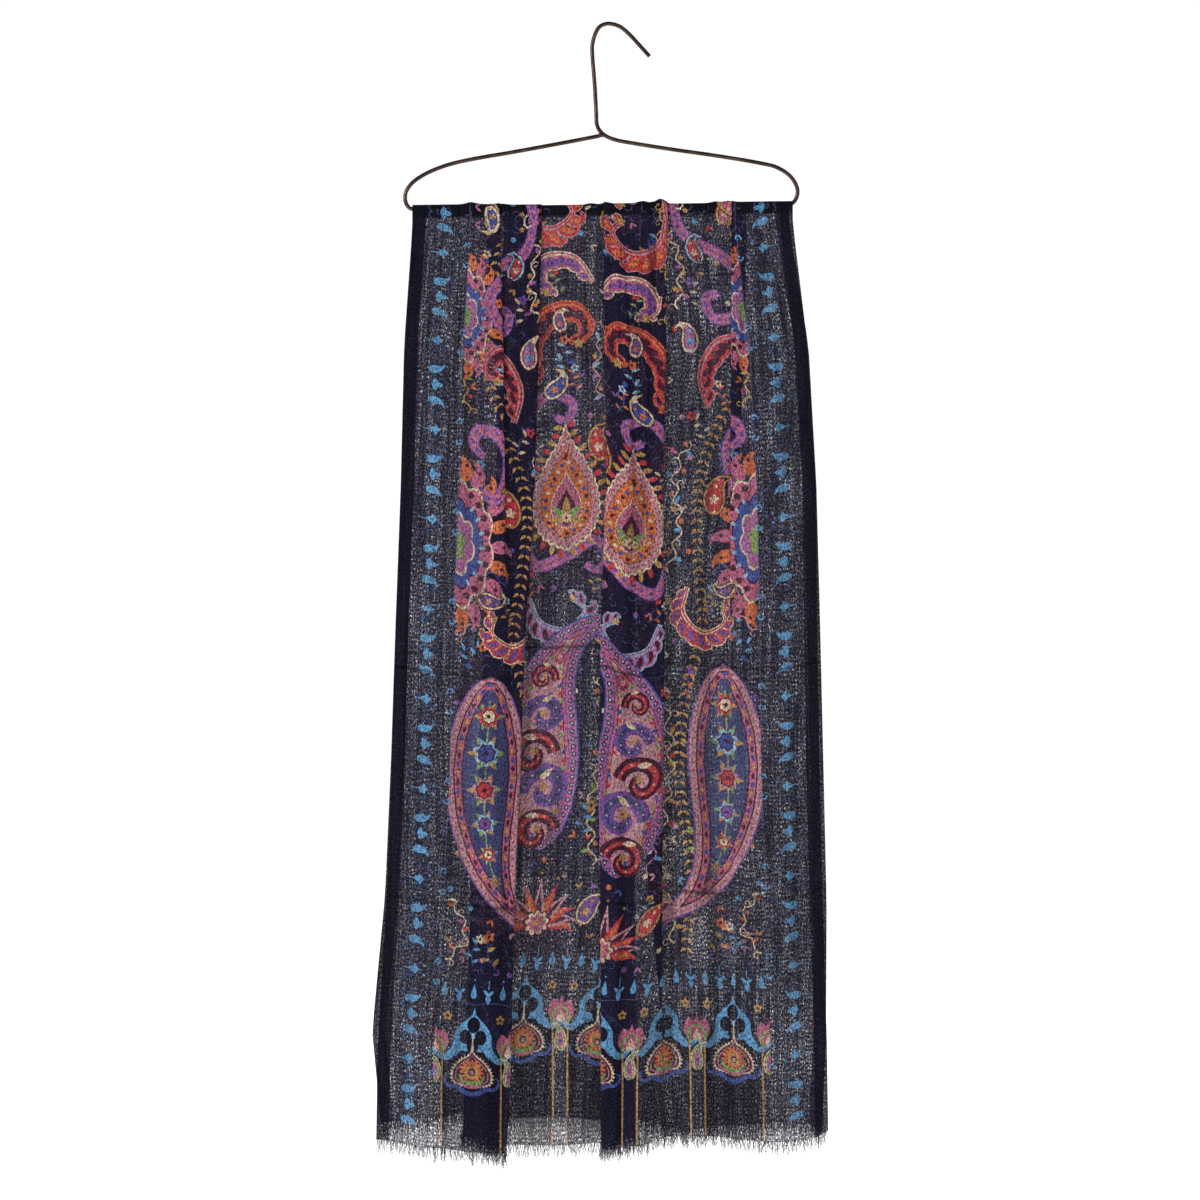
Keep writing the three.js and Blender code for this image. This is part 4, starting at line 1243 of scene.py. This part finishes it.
def printed_faces(low, high, rows, stretch):
    """Cuts the flat cloth between two heights into triangles along every edge of its print.
    Below 1, stretch makes them long up the cloth. Gives its points as across and up, its faces
    and the ink on each."""
    columns = np.arange(0, CLOTH_WIDTH + GRID_COLUMN / 2, GRID_COLUMN)
    bottom, top = low(columns), high(columns)
    shares = np.linspace(0, 1, rows)
    points = [np.column_stack([columns, mix(bottom, top, share)]) for share in shares]
    count = len(columns)
    last = (rows - 1) * count
    edges = [(k, k + 1) for k in range(count - 1)]
    edges += [(last + k, last + k + 1) for k in range(count - 1)]
    for side in (0, count - 1):
        edges += [(r * count + side, (r + 1) * count + side) for r in range(rows - 1)]
    used = rows * count
    row_step = (top - bottom).max() / (rows - 1)
    shapes = []
    for shape, colour in print_shapes:
        outline = shape + [HALF_WIDTH, 0]
        lowest, highest = outline[:, 1].min(), outline[:, 1].max()
        if highest < bottom.min() or lowest > top.max():
            continue
        if highest - lowest > TALLEST_CUT:
            shapes.append((outline, colour))
            continue
        outline = finer(outline, row_step)
        shapes.append((outline, colour))
        n = len(outline)
        points.append(outline)
        edges += [(used + k, used + (k + 1) % n) for k in range(n)]
        used += n
    for edge in (SELVEDGE_EDGE, FIELD_EDGE):
        for s in (HALF_WIDTH - edge, HALF_WIDTH + edge):
            climb = np.arange(bottom.min() - 1, top.max() + row_step, row_step)
            points.append(np.column_stack([np.full_like(climb, s), climb]))
            edges += [(used + k, used + k + 1) for k in range(len(climb) - 1)]
            used += len(climb)
    flat = np.vstack(points) * [1, stretch]
    found = delaunay_2d_cdt([Vector(p) for p in flat.tolist()], edges, [], 0, SAME_POINT, False)
    corners = np.array([tuple(v) for v in found[0]]) / [1, stretch]
    faces = np.array(found[2])
    middle = corners[faces].mean(axis=1)
    ax, ay = corners[faces[:, 1]].T - corners[faces[:, 0]].T
    bx, by = corners[faces[:, 2]].T - corners[faces[:, 0]].T
    area = ax * by - ay * bx
    faces[area < 0] = faces[area < 0][:, ::-1]
    kept = (middle[:, 0] > 0) & (middle[:, 0] < CLOTH_WIDTH) & (np.abs(area) > 1e-5)
    kept &= (middle[:, 1] > low(middle[:, 0])) & (middle[:, 1] < high(middle[:, 0]))
    faces, middle = faces[kept], middle[kept]
    x, y = middle.T
    colours = np.zeros((len(faces), 4))
    bare = np.ones(len(faces), bool)
    for outline, colour in reversed(shapes):
        (x0, y0), (x1, y1) = outline.min(axis=0), outline.max(axis=0)
        near = np.flatnonzero(bare & (x > x0) & (x < x1) & (y > y0) & (y < y1))
        hit = near[inside(outline, middle[near])] if len(near) else near
        red, green, blue, openness = INK[colour]
        colours[hit] = linear(red, green, blue, openness)
        bare[hit] = False
    used_corners, faces = np.unique(faces, return_inverse=True)
    return corners[used_corners], faces.reshape(-1, 3), colours


def cloth_piece(name, flat, faces, colours, place, outward):
    """A thin sheet of printed cloth: its mesh, its print, its flat places and smooth normals."""
    if outward < 0:
        faces = faces[:, ::-1]
    mesh = bpy.data.meshes.new(name)
    mesh.from_pydata((place(*flat.T) * MM).tolist(), [], faces.tolist())
    mesh.polygons.foreach_set("use_smooth", np.ones(len(faces), bool))
    ink_layer = mesh.color_attributes.new("print", "BYTE_COLOR", "CORNER")
    ink_layer.data.foreach_set("color", np.repeat(colours, 3, axis=0).astype(np.float32).ravel())
    uv = mesh.uv_layers.new(name="cloth")
    uv.data.foreach_set("uv", (flat[faces.ravel()] / CLOTH_MAP).astype(np.float32).ravel())
    over = place(flat[:, 0] + 0.5, flat[:, 1]) - place(flat[:, 0] - 0.5, flat[:, 1])
    along = place(flat[:, 0], flat[:, 1] + 1.5) - place(flat[:, 0], flat[:, 1] - 1.5)
    normal = np.cross(over, along) * outward
    normal /= np.linalg.norm(normal, axis=1)[:, None] + 1e-12
    mesh.normals_split_custom_set_from_vertices(normal.tolist())
    mesh.materials.append(printed_cloth)
    return in_scene(name, mesh)


# Finish of the cloth: an open plain weave in fine slubby yarn, so light comes through in specks
printed_cloth, cloth_shader = new_material("printed_sheer_wool")
tree = printed_cloth.node_tree
cloth_place = node(tree, "ShaderNodeUVMap", uv_map="cloth")
cloth_ink = node(tree, "ShaderNodeAttribute", attribute_name="print")


def cloth_plane(across, along, shift=0.0):
    """The cloth's own plane, with units of that many mm across and along."""
    plane = node(tree, "ShaderNodeMapping")
    plane.inputs["Scale"].default_value = (CLOTH_MAP / across, CLOTH_MAP / along, 1)
    plane.inputs["Location"].default_value = (shift, shift, shift)
    tree.links.new(cloth_place.outputs["UV"], plane.inputs["Vector"])
    return plane.outputs["Vector"]


def yarn_noise(across, along, detail=3.0, shift=0.0):
    """Noise in the cloth's plane, its grain that many mm across and along."""
    plane = cloth_plane(across, along, shift)
    noise = node(tree, "ShaderNodeTexNoise", Scale=1.0, Detail=detail, Roughness=0.6)
    tree.links.new(plane, noise.inputs["Vector"])
    return noise.outputs["Fac"]


def math_node(tree, operation, *values):
    """A sum on values and sockets."""
    made = node(tree, "ShaderNodeMath", operation=operation)
    for socket, value in zip(made.inputs, values):
        if isinstance(value, (int, float)):
            socket.default_value = value
        else:
            tree.links.new(value, socket)
    return made.outputs[0]


def wavy_bars(across, along):
    """The wavy bars that two sheer layers make together, one each `along` mm."""
    plane = cloth_plane(across, along)
    bars = node(
        tree, "ShaderNodeTexWave", bands_direction="Y",
        Scale=math.pi / 10, Distortion=15.0, Detail=2.0, Detail_Scale=0.3,
    )
    tree.links.new(plane, bars.inputs["Vector"])
    return bars.outputs["Fac"]


# Creases across the cloth, from lying folded in a parcel: how far each is from the hem
PARCEL_FOLDS = (259, 502)
cloth_along = node(tree, "ShaderNodeSeparateXYZ")
tree.links.new(cloth_place.outputs["UV"], cloth_along.inputs["Vector"])
ridges, crease_painted_shade = 0.0, 1.0
for fold in PARCEL_FOLDS:
    past_fold = math_node(tree, "SUBTRACT", cloth_along.outputs["Y"], fold / CLOTH_MAP)
    off = math_node(tree, "ABSOLUTE", past_fold)
    ridges = math_node(tree, "ADD", ridges, ramp(tree, off, 0.0, 0.0016, 1.0, 0.0))
    # Along each crease the colour and the light let through are darkened: a painted shade of the
    # crease
    crease_painted_shade = math_node(tree, "MULTIPLY", crease_painted_shade, ramp(tree, off, 0.0002, 0.0013, 0.4, 1.0))

# How much light comes through: specks between slubby threads, more where the weave is slack, less
# along the creases as painted shade
specks = ramp(tree, yarn_noise(1.3, 2.8, 3.0), 0.42, 0.7)
warp = yarn_noise(2.0, 60.0, 3.0, 5.0)
weft = yarn_noise(13.0, 2.4, 3.0, 9.0)
light_through = 0.78
for part in (
    specks,
    ramp(tree, warp, 0.32, 0.68, 0.3, 1.5),
    ramp(tree, weft, 0.32, 0.68, 0.6, 1.28),
    ramp(tree, yarn_noise(9.0, 120.0, 3.0, 21.0), 0.3, 0.7, 0.5, 1.35),
    ramp(tree, wavy_bars(17.0, 4.0), 0.1, 0.9, 0.72, 1.22),
    crease_painted_shade,
):
    light_through = math_node(tree, "MULTIPLY", light_through, part)
light_through = math_node(tree, "ADD", light_through, 0.04)
openness = math_node(tree, "MULTIPLY", light_through, cloth_ink.outputs["Alpha"])
tree.links.new(math_node(tree, "SUBTRACT", 1.0, openness), cloth_shader.inputs["Alpha"])

# Its colour: the inks mottled by the yarn, with a painted lilac glow where the weave is open,
# standing in for light shining through it
fine_mottle = ramp(tree, yarn_noise(1.6, 3.2, 3.0, 3.0), 0.34, 0.62, 0.2, 1.16)
long_mottle = ramp(tree, yarn_noise(12.0, 90.0, 3.0, 31.0), 0.25, 0.7, 0.6, 1.12)
shade = math_node(tree, "MULTIPLY", fine_mottle, long_mottle)
tint = node(tree, "ShaderNodeMix", data_type="RGBA", blend_type="MULTIPLY")
tint.inputs["Factor"].default_value = 1.0
tree.links.new(cloth_ink.outputs["Color"], tint.inputs["A"])
# The mottled inks are darkened along the creases, a painted shade of the crease
tree.links.new(math_node(tree, "MULTIPLY", shade, crease_painted_shade), tint.inputs["B"])
# Painted light: lilac mixed in as far as the weave lets light through
painted_backlight = node(tree, "ShaderNodeMix", data_type="RGBA")
painted_backlight.inputs["B"].default_value = linear(108, 96, 166)
tree.links.new(math_node(tree, "MULTIPLY", openness, 0.3), painted_backlight.inputs["Factor"])
tree.links.new(tint.outputs["Result"], painted_backlight.inputs["A"])
tree.links.new(painted_backlight.outputs["Result"], cloth_shader.inputs["Base Color"])

# Its surface: the threads, soft crinkles along the warp and the parcel's creases
weave_bump = node(tree, "ShaderNodeBump", Strength=0.35, Distance=0.0003)
tree.links.new(math_node(tree, "ADD", warp, weft), weave_bump.inputs["Height"])
crinkle = math_node(tree, "MULTIPLY", yarn_noise(11.0, 210.0, 2.0, 13.0), 2.6)
crease_bump = node(tree, "ShaderNodeBump", Strength=1.0, Distance=0.0016)
tree.links.new(math_node(tree, "ADD", crinkle, ridges), crease_bump.inputs["Height"])
tree.links.new(weave_bump.outputs["Normal"], crease_bump.inputs["Normal"])
tree.links.new(crease_bump.outputs["Normal"], cloth_shader.inputs["Normal"])
cloth_shader.inputs["Roughness"].default_value = 0.9
cloth_shader.inputs["Specular IOR Level"].default_value = 0.06
cloth_shader.inputs["Sheen Weight"].default_value = 0.03
cloth_shader.inputs["Sheen Roughness"].default_value = 0.45


def front_top(across):
    """How far from the hem the front fall ends."""
    return hem_drop("front", across) - TURN_DEPTH


def back_top(across):
    """How far from its own hem the back fall ends."""
    return hem_drop("back", across) - TURN_DEPTH


def hem_line(across):
    return np.zeros_like(across)


# Front fall: the stretch of the cloth that hangs before the bar, sheer printed wool.
# It is one cloth with the turn and the back fall, parted only here in the model.
FALL_ROWS = 42
FALL_STRETCH = 0.25
front_flat, front_faces, front_inks = printed_faces(hem_line, front_top, FALL_ROWS, FALL_STRETCH)
front_fall = cloth_piece(
    "front_fall_cloth", front_flat, front_faces, front_inks, lambda a, up: hang("front", a, up), 1
)
fit(front_fall, "front_fall")

# Back fall: the stretch of the same cloth that hangs behind the bar.
# It is printed like the front from its own hem up.
back_flat, back_faces, back_inks = printed_faces(hem_line, back_top, FALL_ROWS, FALL_STRETCH)
back_fall = cloth_piece(
    "back_fall_cloth", back_flat, back_faces, back_inks, lambda a, up: hang("back", a, up), -1
)
fit(back_fall, "back_fall")

# Turn: the short stretch of the cloth that is pressed round the bar, pleats and all.
# Its layers lie close on the wire there, and near the crest the cloth is made nearly opaque, a
# painted shade of the wire, so hardly any light comes through.
TURN_ROWS = 29
TURN_STRETCH = 2.2
TURN_OPENNESS = 0.12
WIRE_SHADOW = (7, 11)


def turn_high(across):
    """How far from the front hem the turn ends, behind the bar."""
    return hem_drop("front", across) + 2 * CREST_CLOTH + TURN_DEPTH


def hang_turn(across, up):
    """Front places up to the crest, back places beyond it."""
    front, back = hang("front", across, up), hang("back", across, CLOTH_LENGTH - up)
    past = up > hem_drop("front", across) + CREST_CLOTH
    return np.where(past[:, None], back, front)


turn_flat, turn_faces, turn_inks = printed_faces(front_top, turn_high, TURN_ROWS, TURN_STRETCH)
turn_middle = turn_flat[turn_faces].mean(axis=1)
past_crest = turn_middle[:, 1] - hem_drop("front", turn_middle[:, 0]) - CREST_CLOTH
below_crest = np.abs(past_crest) - CREST_CLOTH
clear = smoothstep((below_crest - WIRE_SHADOW[0]) / (WIRE_SHADOW[1] - WIRE_SHADOW[0]))
# Painted shade of the wire: near the crest the cloth lets hardly any light through, so it shows
# dark
turn_inks[:, 3] *= mix(TURN_OPENNESS, 1, clear)
bar_turn = cloth_piece("bar_turn_cloth", turn_flat, turn_faces, turn_inks, hang_turn, 1)
fit(bar_turn, "bar_turn")

# Fringe: loose warp threads left beyond the last weft at each hem.
# They are 10 to 18 mm long, thin, uneven and cling together in loose locks.
FRINGE_STRANDS = 1500
STRAND_LENGTH = 17.5
STRAND_WIDTH = 0.34
STRAND_DRIFT = 0.9
# A thread's tip as a share of its foot, and its waves in radians to a metre
STRAND_TIP = 0.4
STRAND_WAVES = 420.0
# How many locks there are to a metre, how far they lean, and how unevenly single threads do
LOCKS = 95.0
LOCK_LEAN = 2.6
STRAND_LEAN = 0.2
HEM_STEP = 1.5


def fringe_tree():
    """Geometry nodes that hang tapered, wavy threads along a line."""
    tree, start, end = form_tree("hem_threads", (
        ("Strands", "Int"), ("Length", "Float"), ("Thickness", "Float"),
        ("Drift", "Float"), ("Thread", "Material"),
    ))
    link = tree.links.new

    line = tree.nodes.new("GeometryNodeMeshToCurve")
    spread = tree.nodes.new("GeometryNodeResampleCurve")
    link(start.outputs["Geometry"], line.inputs["Mesh"])
    link(line.outputs["Curve"], spread.inputs["Curve"])
    link(start.outputs["Strands"], spread.inputs["Count"])

    thread = node(tree, "GeometryNodeMeshCone", fill_type="NONE", Vertices=3, Side_Segments=5)
    tip = math_node(tree, "MULTIPLY", start.outputs["Thickness"], STRAND_TIP)
    link(tip, thread.inputs["Radius Top"])
    link(start.outputs["Thickness"], thread.inputs["Radius Bottom"])
    link(start.outputs["Length"], thread.inputs["Depth"])
    position = tree.nodes.new("GeometryNodeInputPosition")
    parts = tree.nodes.new("ShaderNodeSeparateXYZ")
    link(position.outputs[0], parts.inputs[0])
    wave = math_node(tree, "SINE", math_node(tree, "MULTIPLY", parts.outputs["Z"], STRAND_WAVES))
    offset = tree.nodes.new("ShaderNodeCombineXYZ")
    link(math_node(tree, "MULTIPLY", wave, start.outputs["Drift"]), offset.inputs["X"])
    bend = tree.nodes.new("GeometryNodeSetPosition")
    link(thread.outputs["Mesh"], bend.inputs["Geometry"])
    link(offset.outputs[0], bend.inputs["Offset"])

    hang_threads = tree.nodes.new("GeometryNodeInstanceOnPoints")
    turn = node(
        tree, "FunctionNodeRandomValue", data_type="FLOAT_VECTOR", Seed=3,
        Min=(math.pi - STRAND_LEAN, -STRAND_LEAN, 0),
        Max=(math.pi + STRAND_LEAN, STRAND_LEAN, 2 * math.pi),
    )
    scale = node(
        tree, "FunctionNodeRandomValue", data_type="FLOAT_VECTOR", Seed=8,
        Min=(0.6, 0.6, 0.55), Max=(1.2, 1.2, 1.08),
    )
    lock_noise = node(tree, "ShaderNodeTexNoise", Scale=LOCKS, Detail=1.0)
    centred = math_node(tree, "SUBTRACT", lock_noise.outputs["Fac"], 0.5)
    lock_lean = tree.nodes.new("ShaderNodeCombineXYZ")
    link(math_node(tree, "MULTIPLY", centred, LOCK_LEAN), lock_lean.inputs["Y"])
    whole_turn = node(tree, "ShaderNodeVectorMath", operation="ADD")
    link(turn.outputs["Value"], whole_turn.inputs[0])
    link(lock_lean.outputs[0], whole_turn.inputs[1])
    link(spread.outputs["Curve"], hang_threads.inputs["Points"])
    link(bend.outputs["Geometry"], hang_threads.inputs["Instance"])
    link(whole_turn.outputs[0], hang_threads.inputs["Rotation"])
    link(scale.outputs["Value"], hang_threads.inputs["Scale"])

    end_form(tree, hang_threads.outputs["Instances"], start.outputs["Thread"], end)
    return tree


loose_thread, thread_shader = new_material("loose_warp_thread")
thread_tree = loose_thread.node_tree
thread_place = node(thread_tree, "ShaderNodeTexCoord")
thread_noise = node(thread_tree, "ShaderNodeTexNoise", Scale=420.0, Detail=2.0)
thread_colour = node(thread_tree, "ShaderNodeMix", data_type="RGBA")
thread_colour.inputs["A"].default_value = linear(30, 26, 40)
thread_colour.inputs["B"].default_value = linear(96, 84, 98)
thread_tree.links.new(thread_place.outputs["Object"], thread_noise.inputs["Vector"])
thread_mottle = ramp(thread_tree, thread_noise.outputs["Fac"], 0.4, 0.72)
thread_tree.links.new(thread_mottle, thread_colour.inputs["Factor"])
thread_tree.links.new(thread_colour.outputs["Result"], thread_shader.inputs["Base Color"])
thread_shader.inputs["Roughness"].default_value = 0.8
thread_shader.inputs["Sheen Weight"].default_value = 0.15


def fringe(name, side, tree):
    """Hangs the loose threads along one hem, their feet just inside the cloth."""
    across = np.arange(1, CLOTH_WIDTH, HEM_STEP)
    line = hang(side, across, np.full_like(across, 0.5)) * MM
    return grown(name, guide_line(name + "_hem", line), tree, {
        "Strands": FRINGE_STRANDS, "Length": STRAND_LENGTH * MM, "Thickness": STRAND_WIDTH * MM,
        "Drift": STRAND_DRIFT * MM, "Thread": loose_thread,
    })


threads_tree = fringe_tree()
front_fringe = fringe("front_fringe_threads", "front", threads_tree)
back_fringe = fringe("back_fringe_threads", "back", threads_tree)
fit(front_fringe, "front_fringe")
fit(back_fringe, "back_fringe")

# Studio: a plain pale floor below the hem, soft light from both sides and a white surround.
# The camera looks straight on, as in the photograph, and is 4.5 m away.
FLOOR_Z = -1.34
FLOOR_REACH = 6
CAMERA_DISTANCE = 4.5
FRAME_WIDTH = 1.2804
AIM = (-0.0085, -0.6128)
SENSOR_WIDTH = 36
LIT_PLACE = (0, 0, -0.6)
# The surround's strength: what falls on the cloth, and what the camera sees
SURROUND = (0.26, 1.05)

floor_mesh = bpy.data.meshes.new("floor")
corner_signs = ((-1, -1), (1, -1), (1, 1), (-1, 1))
corners = [(x * FLOOR_REACH, y * FLOOR_REACH, FLOOR_Z) for x, y in corner_signs]
floor_mesh.from_pydata(corners, [], [(0, 1, 2, 3)])
floor = in_scene("floor", floor_mesh)
pale, pale_shader = new_material("pale_floor")
pale_shader.inputs["Base Color"].default_value = linear(238, 238, 238)
pale_shader.inputs["Roughness"].default_value = 0.9
pale_shader.inputs["Emission Color"].default_value = (1, 1, 1, 1)
pale_shader.inputs["Emission Strength"].default_value = 0.9
floor_mesh.materials.append(pale)

world = bpy.data.worlds.new("white_surround")
bpy.context.scene.world = world
world.use_nodes = True
sky = world.node_tree
path_kind = sky.nodes.new("ShaderNodeLightPath")
strength = node(sky, "ShaderNodeMapRange", To_Min=SURROUND[0], To_Max=SURROUND[1])
sky.links.new(path_kind.outputs["Is Camera Ray"], strength.inputs["Value"])
sky.nodes["Background"].inputs["Color"].default_value = (1, 1, 1, 1)
sky.links.new(strength.outputs["Result"], sky.nodes["Background"].inputs["Strength"])


def soft_light(name, place, size, power):
    """A square soft light that faces the middle of the cloth."""
    light = bpy.data.lights.new(name, "AREA")
    light.shape = "SQUARE"
    light.size = size
    light.energy = power
    lamp = in_scene(name, light)
    lamp.location = place
    way = Vector(LIT_PLACE) - Vector(place)
    lamp.rotation_euler = way.to_track_quat("-Z", "Y").to_euler()


soft_light("left_light", (-2.9, -2.0, 0.6), 0.9, 114)
soft_light("right_light", (2.4, -2.6, 0.1), 1.4, 22)
soft_light("back_light", (1.0, 2.8, 0.4), 1.8, 36)

camera_data = bpy.data.cameras.new("camera")
camera_data.sensor_width = SENSOR_WIDTH
camera_data.lens = SENSOR_WIDTH * CAMERA_DISTANCE / FRAME_WIDTH
camera = in_scene("camera", camera_data)
camera.location = (AIM[0], -CAMERA_DISTANCE, AIM[1])
camera.rotation_euler = (math.pi / 2, 0, 0)
bpy.context.scene.camera = camera
bpy.context.scene.view_settings.view_transform = "Standard"
